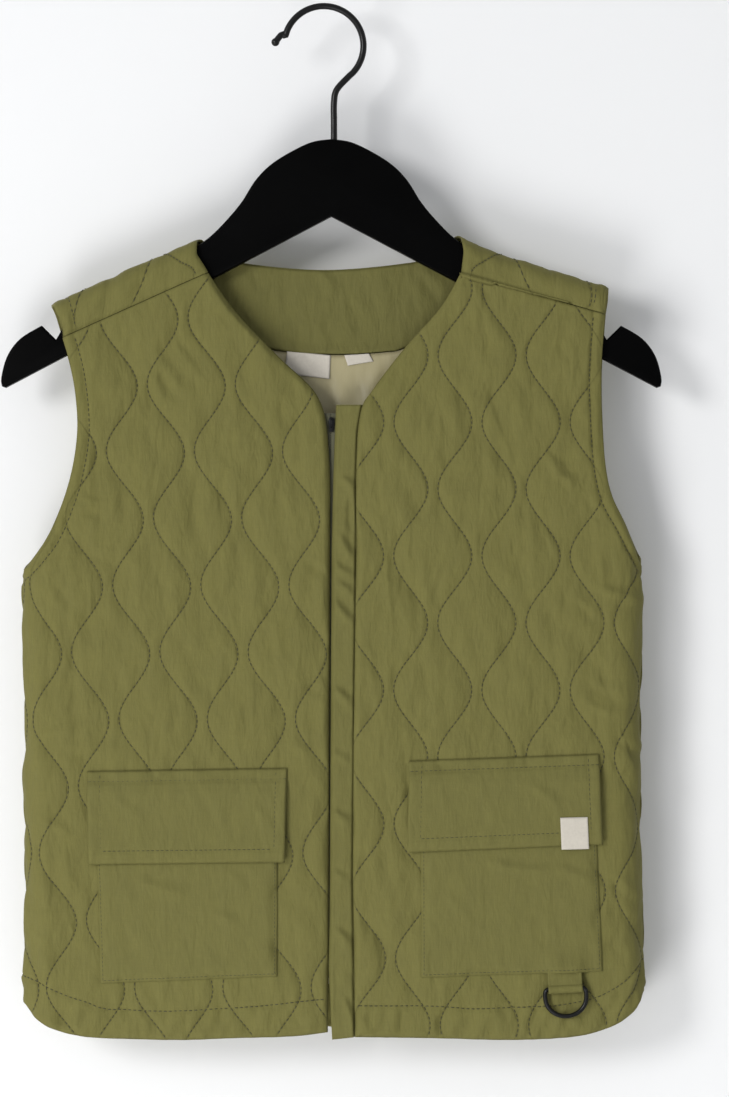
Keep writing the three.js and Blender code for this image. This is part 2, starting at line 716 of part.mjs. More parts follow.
function dRing() {
  const half = (ringWidth - ringWire) / 2;
  const bow = ringDrop - ringWire / 2;
  const shoulder = bow - half * bowShare;
  const ease = ringCorner * cornerEase;
  const route = steps(-half + ringCorner, half - ringCorner, 4).map((x) => [x, 0]);
  route.push([half - ease, -ease]);
  route.push([half, -ringCorner]);
  for (const angle of steps(0, Math.PI, 14)) {
    route.push([half * Math.cos(angle), -shoulder - (bow - shoulder) * Math.sin(angle)]);
  }
  route.push([-half, -ringCorner]);
  route.push([-half + ease, -ease]);
  const points = route.map(([x, z]) => new THREE.Vector3(x, 0, z));
  const line = new THREE.CatmullRomCurve3(points, true, 'centripetal');
  const section = new THREE.Shape();
  section.absarc(0, 0, ringWire / 2, 0, Math.PI * 2);
  const geometry = new THREE.ExtrudeGeometry(section, {
    steps: 44, bevelEnabled: false, extrudePath: line, curveSegments: wireSegments - 1,
  });
  return toSolid(hangOnBar(geometry));
}

// A tape doubled round the bar: two layers above, one round loop below
function ringTab() {
  const inside = ringWire / 2 + tabPlay;
  const outside = inside + tabTape;
  const shape = new THREE.Shape();
  const halfLayers = tabTape + layerGap / 2;
  const spread = Math.asin(halfLayers / outside);
  shape.moveTo(-halfLayers, tabLayersUp);
  shape.absarc(0, 0, outside, Math.PI / 2 + spread, Math.PI / 2 - spread, false);
  shape.lineTo(halfLayers, tabLayersUp);
  const hole = new THREE.Path();
  hole.absarc(0, 0, inside, 0, Math.PI * 2, true);
  shape.holes.push(hole);
  const geometry = new THREE.ExtrudeGeometry(shape, {
    depth: tabWidth, steps: 1, bevelEnabled: false, curveSegments: 20,
  });
  geometry.applyMatrix4(new THREE.Matrix4().makeBasis(
    new THREE.Vector3(0, 1, 0), new THREE.Vector3(0, 0, 1), new THREE.Vector3(1, 0, 0),
  ));
  geometry.translate(-tabWidth / 2, 0, 0);
  return toSolid(hangOnBar(geometry));
}

// Finishes
const finishes = {
  quilt: { color: 0x7f7b45, roughness: 0.85, metalness: 0 },
  plain: { color: 0x7c7842, roughness: 0.85, metalness: 0 },
  lining: { color: 0x938b62, roughness: 0.5, metalness: 0 },
  label: { color: 0xcdc3af, roughness: 0.9, metalness: 0 },
  zip: { color: 0x5c5a3c, roughness: 0.8, metalness: 0 },
  black: { color: 0x161616, roughness: 0.45, metalness: 0 },
  blackMetal: { color: 0x101010, roughness: 0.35, metalness: 0.8 },
};

const pieces = [
  { name: 'back_panel', make: backPanel, finish: 'quilt' },
  { name: 'front_right', make: frontRight, finish: 'quilt' },
  { name: 'front_left', make: frontLeft, finish: 'quilt' },
  { name: 'back_neck_facing', make: backNeckFacing, finish: 'plain' },
  { name: 'back_lining', make: backLining, finish: 'lining' },
  { name: 'placket_strip', make: placketStrip, finish: 'plain' },
  { name: 'zip_tape', make: zipTape, finish: 'zip' },
  { name: 'zip_slider', make: zipSlider, finish: 'blackMetal' },
  { name: 'pocket_bag_right', make: () => pocketBag('right'), finish: 'plain' },
  { name: 'pocket_bag_left', make: () => pocketBag('left'), finish: 'plain' },
  { name: 'pocket_flap_right', make: () => pocketFlap('right'), finish: 'plain' },
  { name: 'pocket_flap_left', make: () => pocketFlap('left'), finish: 'plain' },
  { name: 'neck_label', make: neckLabel, finish: 'label' },
  { name: 'size_label', make: sizeLabel, finish: 'label' },
  { name: 'flap_label', make: flapLabel, finish: 'label' },
  { name: 'ring_tab', make: ringTab, finish: 'plain' },
  { name: 'd_ring', make: dRing, finish: 'blackMetal' },
  { name: 'hanger_body', make: hangerBody, finish: 'black' },
  { name: 'hanger_hook', make: hangerHook, finish: 'blackMetal' },
];

const vest = new THREE.Group();
for (const { name, make, finish } of pieces) {
  const material = new THREE.MeshStandardMaterial(finishes[finish]);
  const mesh = new THREE.Mesh(toGeometry(make()), material);
  mesh.name = name;
  vest.add(mesh);
}

export default vest;
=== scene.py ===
"""Quilted vest on a hanger: cloth shells, stitching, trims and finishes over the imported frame."""

import math

import bmesh
import bpy
import numpy as np
from mathutils import Matrix, Vector


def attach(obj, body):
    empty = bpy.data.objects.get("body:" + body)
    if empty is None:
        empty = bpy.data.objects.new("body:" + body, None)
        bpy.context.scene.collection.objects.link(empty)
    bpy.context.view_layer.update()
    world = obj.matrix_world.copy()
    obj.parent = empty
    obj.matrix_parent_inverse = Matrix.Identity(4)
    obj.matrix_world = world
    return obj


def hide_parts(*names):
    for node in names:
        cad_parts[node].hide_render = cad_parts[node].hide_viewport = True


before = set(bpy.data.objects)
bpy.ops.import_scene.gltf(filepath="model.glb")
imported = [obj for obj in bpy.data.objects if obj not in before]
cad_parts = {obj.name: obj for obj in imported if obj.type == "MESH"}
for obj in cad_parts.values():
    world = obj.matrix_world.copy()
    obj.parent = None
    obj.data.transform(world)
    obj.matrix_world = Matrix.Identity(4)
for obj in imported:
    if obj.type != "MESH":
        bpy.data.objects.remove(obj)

bl_info = {
    "name": "Quilted vest on a hanger",
    "version": (1, 0, 0),
    "blender": (4, 5, 0),
    "location": "View3D > Sidebar > Vest",
    "description": "Makes the cloth, stitching, trims and finishes of a quilted vest on its hanger",
    "category": "Add Mesh",
}

MM = 0.001

# Sizes that the cloth shares with its solids, in millimetres
WALL = 2.0
QUILT_RISE = 1.6
SIDE_ROUND = 12.0
SEAM_ROUND = 24.0
ROLL_RADIUS = 7.4
HALF_SEAM = 0.18
QUILT_SPACING = 25.4
QUILT_SWING = 9.8
QUILT_PERIOD = 77.2
TIP_SHARPNESS = 0.3
PUFF_EASE = 3.6
ARM_EASE = 1.4
INSIDE_STAND = -1.2
WRAP_HEIGHT = -150.0
POCKET_HEIGHT = -500.0

# Thickness of each sheet, in millimetres
THICKNESS = {
    "quilted": 1.3, "facing": 0.8, "lining": 0.7, "strip": 0.8, "tape": 0.6, "bag": 0.9,
    "flap": 1.2, "label": 0.5, "tab": 0.8,
}
# How far each row of sewing lies from the edge beside it, in millimetres
ARM_SEWING = 7.0
NECK_SEWING = 1.8
BAG_SEWING = 1.6
FLAP_SEWING = {"top": 6.0, "foot": 7.7, "left": 7.4, "right": 6.4}
# How far the ends of a row of sewing stay from the panel's edge, and the same at the neck
ROW_MARGIN = 1.5
NECK_MARGIN = 1.0
# Fine crinkles: their share, lean, width and length
CRINKLES = [(0.8, 0.1, 6.5, 26.0), (0.7, 0.4, 11.0, 17.0), (0.3, -0.3, 3.6, 13.0)]

SECTIONS = [
    {"z": -100, "left": -170.0, "right": 181.6, "depth": 7.4},
    {"z": -190, "left": -170.0, "right": 181.6, "depth": 7.6},
    {"z": -325, "left": -170.4, "right": 181.6, "depth": 11.5},
    {"z": -450, "left": -169.8, "right": 181.0, "depth": 13.5},
    {"z": -550, "left": -169.6, "right": 183.0, "depth": 14.0},
    {"z": -620, "left": -169.6, "right": 184.0, "depth": 13.0},
]
RIDGE = [
    {"x": -190, "z": -188.4},
    {"x": -157, "z": -173.2},
    {"x": -99, "z": -147.4},
    {"x": -75, "z": -136.8},
    {"x": -66, "z": -129.4},
    {"x": 4, "z": -95.0},
    {"x": 74, "z": -127.6},
    {"x": 83, "z": -135.4},
    {"x": 125, "z": -151.0},
    {"x": 165, "z": -163.2},
    {"x": 190, "z": -170.4},
]
QUILTING = {
    "back": {"neck": 0.0, "row": -300.0, "lean": 0.0, "lines": range(-9, 11)},
    "right": {"neck": -106.0, "row": -295.4, "lean": -0.05, "lines": range(-5, 8)},
    "left": {"neck": 32.5, "row": -239.5, "lean": 0.0, "lines": range(-4, 9)},
}

# Edges seen from the front, x then z, from the shoulder down or from right to left
RIGHT_NECK = [
    (-66.1, -153.1), (-50.5, -175.3), (-24.9, -202.1), (-11.0, -214.8), (-3.4, -223.7),
    (1.3, -235.7), (3.3, -251.9), (4.4, -275.0), (4.3, -311.0),
]
LEFT_NECK = [
    (79.5, -153.6), (68.7, -172.5), (48.6, -195.3), (37.9, -208.6), (28.8, -221.0),
    (23.0, -230.0), (20.3, -246.0), (19.4, -274.7), (19.6, -308.0),
]
RIGHT_ARM = [
    (-150.2, -190.8), (-144.6, -211.0), (-141.6, -236.0), (-142.5, -255.0),
    (-146.4, -274.5), (-152.6, -292.6), (-160.4, -308.6), (-172.9, -325.0),
]
LEFT_ARM = [
    (163.2, -177.3), (160.9, -210.0), (161.6, -243.5), (163.6, -267.0),
    (167.4, -283.0), (175.6, -300.0), (184.6, -323.0),
]
BACK_NECK = [
    (-66.6, -137.0), (-60.0, -141.6), (-41.8, -147.0), (3.0, -150.4), (51.6, -146.0),
    (68.0, -140.6), (73.6, -137.0),
]
RIGHT_HEM = [
    (-172.2, -574.7), (-167.3, -581.5), (-156.5, -588.6), (-136.5, -593.6),
    (-105.5, -595.0), (-78.8, -595.4), (-51.8, -594.4), (-18.2, -593.4), (3.1, -591.0),
]
LEFT_HEM = [
    (18.8, -593.8), (64.7, -594.4), (104.7, -595.4), (135.7, -594.4), (155.0, -591.6),
    (171.9, -585.0), (181.6, -576.6), (186.2, -567.6),
]
RIGHT_HEM_STITCH = [
    (-174.0, -557.6), (-171.3, -559.0), (-149.1, -569.0), (-135.0, -573.7), (-126.2, -577.2),
    (-112.7, -577.9), (-85.1, -578.6), (-41.8, -576.2), (-14.3, -573.4), (3.4, -571.6),
]
LEFT_HEM_STITCH = [
    (18.4, -575.8), (55.3, -575.6), (76.4, -576.6), (85.1, -577.4), (115.1, -576.4),
    (128.4, -575.9), (140.0, -574.6), (150.0, -572.9), (156.7, -571.1), (162.6, -568.6),
    (168.5, -565.4), (174.4, -560.7), (180.3, -554.3), (184.9, -549.5), (189.0, -544.0),
]
FACING_FOOT = [
    (-88.0, -176.0), (-60.0, -187.0), (-27.6, -196.8), (8.0, -199.4), (38.5, -197.6),
    (48.0, -195.4), (96.0, -178.0),
]
# Shoulder wraps: how far the cloth runs over the roll, and x of its neck and arm edges there
WRAPS = {
    "right": {
        "neck": [(0.0, -66.6), (11.6, -72.8), (23.2, -72.6), (39.3, -66.1)],
        "arm": [
            (0.0, -154.6), (8.0, -157.4), (11.6, -157.3), (16.5, -155.6), (23.2, -152.8),
            (33.4, -149.9),
        ],
        "seam": [(-66.1, -152.8), (-150.0, -190.4)],
    },
    "left": {
        "neck": [(0.0, 73.6), (11.6, 80.4), (23.2, 81.4), (40.0, 79.5)],
        "arm": [(0.0, 165.0), (11.6, 165.7), (23.2, 164.6), (30.6, 163.4)],
        "seam": [(79.5, -153.2), (163.2, -176.9)],
    },
}

# Main creases: both ends, half the width and the height, below 0 for a trough
CREASE_COLUMNS = ("x1", "z1", "x2", "z2", "width", "height")
CREASES = {
    "right": [
        (-94.9, -197.9, -76.5, -225.6, 3.2, 1.1),
        (-101.5, -208.6, -85.4, -234.5, 2.8, 0.7),
        (-86.0, -193.0, -70.8, -216.1, 2.6, 0.6),
        (-70.7, -268.7, -67.8, -319.1, 3.0, -0.9),
        (-139.5, -282.0, -122.5, -287.0, 2.2, 0.6),
        (-140.5, -291.7, -126.6, -295.8, 2.2, -0.6),
        (-140.5, -307.5, -119.6, -322.6, 2.8, -0.9),
        (-158.1, -333.2, -138.9, -356.9, 3.0, 0.8),
        (-95.5, -326.3, -92.6, -358.7, 3.2, -0.9),
        (-119.7, -377.7, -115.7, -404.7, 3.0, -0.7),
        (-55.1, -311.3, -58.0, -345.3, 3.4, 0.5),
        (-165.0, -421.0, -132.2, -415.0, 3.8, 0.8),
        (-153.5, -429.0, -129.3, -435.5, 3.0, -0.7),
        (-10.5, -318.7, 4.5, -329.3, 2.4, -1.0),
        (-9.4, -390.8, 4.8, -397.4, 2.4, -0.9),
        (-30.0, -352.0, -27.0, -384.0, 3.4, 0.6),
        (-44.0, -246.0, -40.0, -270.0, 3.0, 0.5),
        (-112.0, -238.0, -116.0, -262.0, 3.4, 0.5),
        (-84.0, -392.0, -80.0, -424.0, 3.4, 0.5),
        (-20.0, -425.0, 2.0, -432.0, 3.0, 0.5),
        (-160.0, -470.0, -142.0, -482.0, 3.0, 0.7),
        (-166.0, -520.0, -140.0, -512.0, 3.2, -0.6),
        (-100.0, -571.0, -92.0, -592.0, 2.6, 0.6),
        (-60.0, -572.0, -55.0, -592.0, 2.4, -0.5),
        (-24.0, -574.0, -16.0, -591.0, 2.4, 0.6),
    ],
    "left": [
        (88.0, -158.4, 96.6, -191.3, 3.0, 1.0),
        (92.0, -169.1, 92.6, -197.0, 2.4, -0.8),
        (128.4, -177.3, 124.5, -188.8, 2.4, 0.6),
        (136.0, -193.0, 145.0, -206.8, 2.6, -0.7),
        (127.4, -256.5, 138.0, -272.8, 2.8, 1.2),
        (134.0, -270.0, 147.7, -276.8, 2.6, 1.0),
        (116.8, -282.5, 116.8, -315.3, 3.0, -0.8),
        (152.3, -282.5, 161.1, -298.0, 2.6, -0.8),
        (159.0, -314.2, 161.3, -344.2, 2.8, 0.9),
        (159.3, -335.4, 184.0, -343.2, 2.8, 1.4),
        (144.7, -343.0, 161.1, -358.6, 2.8, -0.8),
        (152.3, -392.0, 173.7, -400.7, 2.6, -1.2),
        (150.3, -399.0, 175.7, -408.7, 2.6, 1.0),
        (168.7, -421.0, 184.9, -435.5, 2.8, -1.2),
        (165.0, -501.7, 182.3, -520.1, 2.8, -1.1),
        (40.0, -262.0, 43.0, -292.0, 3.2, 0.5),
        (76.0, -225.0, 79.0, -252.0, 3.2, 0.5),
        (62.0, -330.0, 66.0, -362.0, 3.4, -0.5),
        (97.0, -350.0, 99.0, -386.0, 3.4, 0.6),
        (30.0, -394.0, 36.0, -420.0, 3.2, 0.5),
        (132.0, -372.0, 128.0, -398.0, 3.2, 0.5),
        (21.6, -579.6, 26.3, -597.0, 2.2, 1.0),
        (40.1, -571.0, 41.8, -594.2, 2.4, 0.8),
        (59.1, -576.7, 63.2, -594.2, 2.4, 0.7),
        (100.0, -573.0, 108.0, -593.0, 2.4, -0.5),
        (140.0, -570.0, 150.0, -589.0, 2.4, 0.6),
    ],
    "back": [
        (-90.0, -205.0, -70.0, -236.0, 3.4, 0.9),
        (96.0, -200.0, 80.0, -232.0, 3.4, 0.9),
        (-136.0, -278.0, -118.0, -286.0, 2.6, 0.8),
        (-142.0, -300.0, -120.0, -312.0, 2.8, -0.8),
        (150.0, -285.0, 132.0, -296.0, 2.8, 0.9),
        (170.0, -335.0, 140.0, -350.0, 3.2, 1.1),
        (-158.0, -345.0, -132.0, -362.0, 3.0, 0.9),
        (-60.0, -290.0, -56.0, -330.0, 3.4, -0.8),
        (30.0, -262.0, 33.0, -300.0, 3.4, 0.7),
        (72.0, -340.0, 68.0, -382.0, 3.6, -0.8),
        (-20.0, -372.0, -16.0, -414.0, 3.4, 0.7),
        (-104.0, -400.0, -100.0, -440.0, 3.4, 0.7),
        (120.0, -410.0, 124.0, -446.0, 3.4, -0.7),
        (-160.0, -450.0, -128.0, -444.0, 3.6, 0.9),
        (176.0, -470.0, 146.0, -462.0, 3.4, -0.9),
        (20.0, -470.0, 24.0, -505.0, 3.4, 0.6),
        (-64.0, -500.0, -60.0, -536.0, 3.4, -0.6),
        (-130.0, -570.0, -122.0, -592.0, 2.4, 0.7),
        (-76.0, -572.0, -70.0, -592.0, 2.4, -0.6),
        (-20.0, -572.0, -12.0, -592.0, 2.4, 0.7),
        (52.0, -571.0, 58.0, -592.0, 2.4, 0.7),
        (110.0, -572.0, 118.0, -592.0, 2.4, -0.6),
    ],
    "strip": [
        (10.0, -271.5, 18.6, -279.5, 2.2, 0.8),
        (15.5, -282.0, 17.5, -306.0, 2.0, -0.8),
        (9.8, -304.2, 18.9, -320.4, 2.4, 0.9),
        (7.0, -321.5, 18.5, -329.1, 2.2, 0.8),
        (8.0, -332.0, 18.0, -341.0, 2.2, 0.7),
        (6.2, -341.2, 18.0, -355.9, 2.2, 0.9),
        (5.6, -393.1, 17.0, -403.7, 2.2, 0.8),
        (5.6, -430.0, 16.0, -437.0, 2.2, 0.5),
        (5.6, -463.5, 17.0, -471.3, 2.2, 0.7),
        (5.6, -498.0, 15.0, -505.0, 2.2, 0.5),
        (6.8, -531.6, 16.0, -543.2, 2.4, 0.8),
        (12.0, -571.0, 17.5, -594.2, 2.2, 0.9),
    ],
    "facing": [
        (-3.6, -150.9, 6.5, -166.4, 3.0, 0.9),
        (14.9, -167.0, 21.5, -188.4, 3.2, -0.9),
        (-3.6, -177.4, 4.2, -198.8, 2.8, 0.7),
        (53.1, -152.6, 69.8, -173.9, 3.2, -1.0),
        (-46.0, -152.0, -38.0, -176.0, 3.2, 0.7),
        (34.0, -152.0, 38.0, -176.0, 3.0, 0.5),
        (-24.0, -150.0, -18.0, -186.0, 3.2, -0.6),
    ],
    "lining": [
        (-30.0, -205.0, -20.0, -240.0, 5.0, 1.4),
        (4.0, -210.0, 12.0, -262.0, 5.0, -1.2),
        (34.0, -204.0, 30.0, -250.0, 4.4, 1.2),
        (-80.0, -230.0, -60.0, -330.0, 7.0, 1.4),
        (90.0, -230.0, 76.0, -340.0, 7.0, -1.4),
        (20.0, -330.0, 30.0, -450.0, 8.0, 1.4),
        (-40.0, -420.0, -36.0, -540.0, 8.0, -1.4),
        (120.0, -400.0, 112.0, -530.0, 8.0, 1.4),
        (-120.0, -400.0, -112.0, -520.0, 8.0, 1.2),
    ],
    "bag_right": [
        (-107.3, -502.7, -75.0, -512.9, 3.2, 0.8),
        (-64.0, -522.9, -46.0, -530.7, 3.0, 0.7),
        (-116.0, -530.0, -108.0, -548.0, 3.2, -0.5),
        (-52.0, -498.0, -44.0, -514.0, 3.0, 0.5),
    ],
    "bag_left": [
        (94.6, -492.6, 139.0, -497.3, 2.8, 0.9),
        (136.0, -496.0, 156.3, -504.7, 2.8, 0.8),
        (70.0, -510.0, 84.0, -530.0, 3.2, 0.5),
        (120.0, -520.0, 128.0, -542.0, 3.2, -0.5),
    ],
    "flap_right": [
        (-120.0, -455.0, -104.0, -470.0, 3.0, 0.5),
        (-70.0, -452.0, -62.0, -476.0, 3.2, -0.4),
        (-38.0, -460.0, -30.0, -478.0, 3.0, 0.5),
    ],
    "flap_left": [
        (118.7, -447.9, 138.0, -464.3, 2.8, 0.8),
        (70.0, -448.0, 76.0, -472.0, 3.2, 0.5),
        (96.0, -456.0, 92.0, -474.0, 3.0, -0.4),
    ],
}

# Fronts: the lines that each is made from, and the seed of its unevenness
FRONTS = {
    "right": {"arm": RIGHT_ARM, "hem_stitch": RIGHT_HEM_STITCH, "seed": 11},
    "left": {"arm": LEFT_ARM, "hem_stitch": LEFT_HEM_STITCH, "seed": 23},
}
# Pockets: corners x and z from the top left round to the bottom left, seen from the front
POCKETS = {
    "right": {
        "seed": 61,
        "bag": [(-130.6, -455.0), (-25.2, -454.0), (-26.7, -558.5), (-128.4, -562.6)],
        "flap": [(-135.0, -440.6), (-19.8, -438.8), (-21.5, -492.8), (-134.4, -494.1)],
    },
    "left": {
        "seed": 71,
        "bag": [(57.2, -450.0), (157.0, -449.0), (160.5, -555.5), (56.2, -559.3)],
        "flap": [(50.4, -434.7), (159.8, -430.7), (161.4, -482.5), (49.0, -487.2)],
    },
}
# Labels: corners x and z from the bottom left round, seen from the front
LABELS = {
    "neck_label": [(-22.2, -210.8), (3.8, -213.9), (4.5, -200.2), (-20.8, -197.5)],
    "size_label": [(14.5, -206.2), (29.3, -203.7), (26.9, -199.2), (12.4, -200.1)],
    "flap_label": [(137.4, -485.4), (153.2, -485.0), (152.6, -466.6), (136.8, -467.0)],
}
STRIP_EDGE = [
    (5.6, -595.2), (3.2, -553.6), (4.0, -528.5), (5.2, -311.5), (6.2, -270.0), (7.7, -229.5),
]
STRIP_REACH = 31.0
STRIP_FOOT = -592.5
TAPE = {"left": -4.6, "right": 13.6, "top": -234.3, "foot": -560.0, "out": -1.6}
COIL = {"from": 3.0, "to": 5.3, "pitch": 1.35, "slant": 0.35}
SLIDER = {"x": 5.1, "z": -240.9, "thickness": 1.4}
SLIDER_SHAPE = [(-1.26, -4.2), (1.26, -4.2), (1.8, 2.1), (1.08, 4.2), (-1.08, 4.2), (-1.8, 2.1)]
BRIDGE_SHAPE = [(0.2, 3.2), (-0.8, 2.6), (-0.9, -0.6), (0.2, -1.6)]
BRIDGE_RADIUS = 0.42

# Hanger: half of its outline from the middle out to the tip, and its hook's middle line
HANGER_MIDDLE = 5.0
HANGER_HALF = 5.0
HANGER_ROUND = 1.5
ARM_TOP = [
    (0, -75.5), (11, -77.1), (23, -82.6), (35, -90.2), (44, -99.4), (52, -112.0), (61, -122.8),
    (70, -131.8), (79, -138.5),
]
NOTCH = [(150, -175.3), (159.3, -191.6), (167.6, -183.4)]
TIP = [(167.6, -183.4), (180, -191.0), (187.5, -201.0), (191, -213.4), (190.6, -218.6)]
ARM_UNDER = (188.6, -219.3)
ARCH_TOP = -120.1
WIRE = 3.8
HOOK_RADIUS = 23.0
HOOK_MIDDLE = (0.6, -21.1)
HOOK_STEM = [(6.5, -83.0), (6.5, -66.0), (6.5, -54.0), (8.1, -46.6)]
HOOK_END = [(-23.6, -14.4), (-27.4, -19.0)]
BALL_RADIUS = 2.4

# Ring and its tab
RING_MIDDLE = 139.6
RING_TILT = math.radians(3)
BAR_HEIGHT = -565.2
RING_Y = -20.588
RING_WIRE = 2.6
RING_WIDTH = 26.2
RING_DROP = 17.2
RING_CORNER = 2.4
TAB_WIDTH = 19.6
TAB_UP = 7.4

# Stage, in metres, and the frame of the view, in millimetres
STAGE_MIDDLE = 0.02
STAGE_SIZE = 2.2
FLOOR = -0.72
PAPER_TONE = (0.76, 0.76, 0.76)
LAMP_AIM = (0.02, 0, -0.33)
REAR_POWER = 34.0
WORLD_LIGHT = 0.62
VIEW_MIDDLE = (24.2, -312.4)
VIEW_PLANE = -10.0
VIEW_DISTANCE = 2400.0
VIEW_HEIGHT = 633.0


# Lines and tables

def smooth_value(rows, across, key, at):
    """A smooth line through a table: its column key where its column across is at."""
    xs = np.array([float(row[across]) for row in rows])
    ys = np.array([float(row[key]) for row in rows])
    if xs[0] > xs[-1]:
        xs, ys = xs[::-1], ys[::-1]
    last = len(xs) - 1
    before = np.maximum(np.arange(last + 1) - 1, 0)
    after = np.minimum(np.arange(last + 1) + 1, last)
    slopes = (ys[after] - ys[before]) / (xs[after] - xs[before])
    i = np.clip(np.searchsorted(xs, at, side="right") - 1, 0, last - 1)
    span = xs[i + 1] - xs[i]
    t = np.clip((at - xs[i]) / span, 0, 1)
    return (
        (2 * t**3 - 3 * t**2 + 1) * ys[i]
        + (t**3 - 2 * t**2 + t) * span * slopes[i]
        + (3 * t**2 - 2 * t**3) * ys[i + 1]
        + (t**3 - t**2) * span * slopes[i + 1]
    )


def distances(line):
    """How far along the line each of its points is."""
    return np.concatenate([[0], np.cumsum(np.linalg.norm(np.diff(line, axis=0), axis=1))])


def points_along(line, at):
    """The line's points at the given distances along it."""
    along = distances(line)
    return np.stack([np.interp(at, along, line[:, axis]) for axis in range(line.shape[1])], 1)


def evenly(line, count):
    """The line with count equal steps along it."""
    line = np.asarray(line, float)
    return points_along(line, np.linspace(0, distances(line)[-1], count + 1))


def curved(points, steps=16):
    """A smooth line through the points."""
    p = np.asarray(points, float)
    p = np.vstack([p[:1], p, p[-1:]])
    t = np.linspace(0, 1, steps, endpoint=False)[:, None]
    runs = []
    for a, b, c, d in zip(p[:-3], p[1:-2], p[2:-1], p[3:]):
        start, end = (c - a) / 2, (d - b) / 2
        runs.append((2 * t**3 - 3 * t**2 + 1) * b + (t**3 - 2 * t**2 + t) * start
                    + (3 * t**2 - 2 * t**3) * c + (t**3 - t**2) * end)
    return np.vstack([*runs, p[-1:]])


def length_of(line):
    """The line's whole length."""
    return float(np.linalg.norm(np.diff(line, axis=0), axis=1).sum())


def nearest(line, s, z):
    """Distance from each point to the line, and how far along the line the nearest place is."""
    line = np.asarray(line, float)
    steps = np.linalg.norm(np.diff(line, axis=0), axis=1)
    starts = distances(line)[:-1]
    best = np.full(np.shape(s), 1e9)
    along = np.zeros(np.shape(s))
    for (a, b), size, start in zip(zip(line[:-1], line[1:]), steps, starts):
        if size < 1e-9:
            continue
        share = np.clip(((s - a[0]) * (b[0] - a[0]) + (z - a[1]) * (b[1] - a[1])) / size**2, 0, 1)
        apart = np.hypot(s - a[0] - share * (b[0] - a[0]), z - a[1] - share * (b[1] - a[1]))
        closer = apart < best
        best = np.where(closer, apart, best)
        along = np.where(closer, start + share * size, along)
    return best, along


def inside(outline, s, z):
    """True where a point lies inside the closed outline."""
    found = np.zeros(np.shape(s), bool)
    for a, b in zip(outline, np.roll(outline, -1, axis=0)):
        if a[1] == b[1]:
            continue
        crosses = (a[1] > z) != (b[1] > z)
        found ^= crosses & (s < a[0] + (z - a[1]) / (b[1] - a[1]) * (b[0] - a[0]))
    return found


def offset_line(line, distance):
    """The line moved to its left by distance."""
    line = evenly(line, max(8, int(length_of(line) / 2)))
    along = np.gradient(line, axis=0)
    along /= np.linalg.norm(along, axis=1)[:, None]
    return line + distance * np.stack([-along[:, 1], along[:, 0]], 1)


def uneven(s, z, across, down, seed):
    """Soft seeded unevenness from -1 to 1, in patches across wide and down high."""
    lattice = np.random.default_rng(seed).uniform(-1, 1, (64, 64))
    u, v = np.asarray(s) / across, np.asarray(z) / down
    i, j = np.floor(u).astype(int), np.floor(v).astype(int)
    fu, fv = u - i, v - j
    fu, fv = fu * fu * (3 - 2 * fu), fv * fv * (3 - 2 * fv)
    i, j = i % 63, j % 63
    below = lattice[i, j] * (1 - fu) + lattice[i + 1, j] * fu
    above = lattice[i, j + 1] * (1 - fu) + lattice[i + 1, j + 1] * fu
    return below * (1 - fv) + above * fv


def ramp(value, start, end):
    """0 up to start, 1 from end on, and a soft rise between them."""
    t = np.clip((value - start) / (end - start), 0, 1)
    return t * t * (3 - 2 * t)


def bell(value, width, at=0.0):
    """1 where the value is at, falling away over width to both sides."""
    return np.exp(-((value - at) / width) ** 2)


# The garment's form

def section_at(z):
    """The garment's middle, the flat half of its width and its half depth, at a height."""
    left = smooth_value(SECTIONS, "z", "left", z)
    right = smooth_value(SECTIONS, "z", "right", z)
    depth = smooth_value(SECTIONS, "z", "depth", z)
    return (left + right) / 2, (right - left) / 2 - SIDE_ROUND, depth


def round_section(s, z, out):
    """x of a place s along the cloth from the middle, how far it faces the front, and its depth."""
    middle, flat, depth = section_at(z)
    past = np.maximum(np.abs(s) - flat, 0)
    angle = past / SEAM_ROUND * math.pi / 2
    side = np.sign(s)
    x = middle + np.where(past > 0, side * (flat + (SIDE_ROUND + out) * np.sin(angle)), s)
    return x, np.cos(angle), depth + out


def front_point(s, z, out):
    """The point of the front at a place along its cloth, out from the garment's inside."""
    x, facing, depth = round_section(s, z, out)
    return np.stack([x, -depth * facing, z + 0 * x], -1)


def back_point(s, height, out):
    """The point of the back, which rolls forward over the shoulders above its ridge."""
    x, facing, depth = round_section(s, height, out)
    start = smooth_value(RIDGE, "x", "z", x) - ROLL_RADIUS
    rise = height - start
    radius = ROLL_RADIUS + out
    angle = np.clip(rise / ROLL_RADIUS, 0, math.pi)
    fallen = np.maximum(rise - math.pi * ROLL_RADIUS, 0)
    y = np.where(rise <= 0, depth, radius * np.cos(angle)) * facing
    z = np.where(rise <= 0, height, start + radius * np.sin(angle) - fallen)
    return np.stack([x, y, z], -1)


def to_cloth(line):
    """From x and z seen from the front to places along the cloth, held at the side seams."""
    x, z = np.asarray(line, float).T
    middle, flat, _ = section_at(z)
    off = np.abs(x - middle)
    angle = np.arcsin(np.clip((off - flat) / (SIDE_ROUND + WALL), 0, 1))
    s = np.where(off > flat, flat + SEAM_ROUND * angle / (math.pi / 2), off)
    return np.stack([np.sign(x - middle) * np.minimum(s, flat + SEAM_ROUND - HALF_SEAM), z], 1)


def ogee_wave(turns):
    """A wave from -1 to 1, a little more pointed than a sine."""
    return np.arcsin(TIP_SHARPNESS * np.cos(2 * math.pi * turns)) / math.asin(TIP_SHARPNESS)


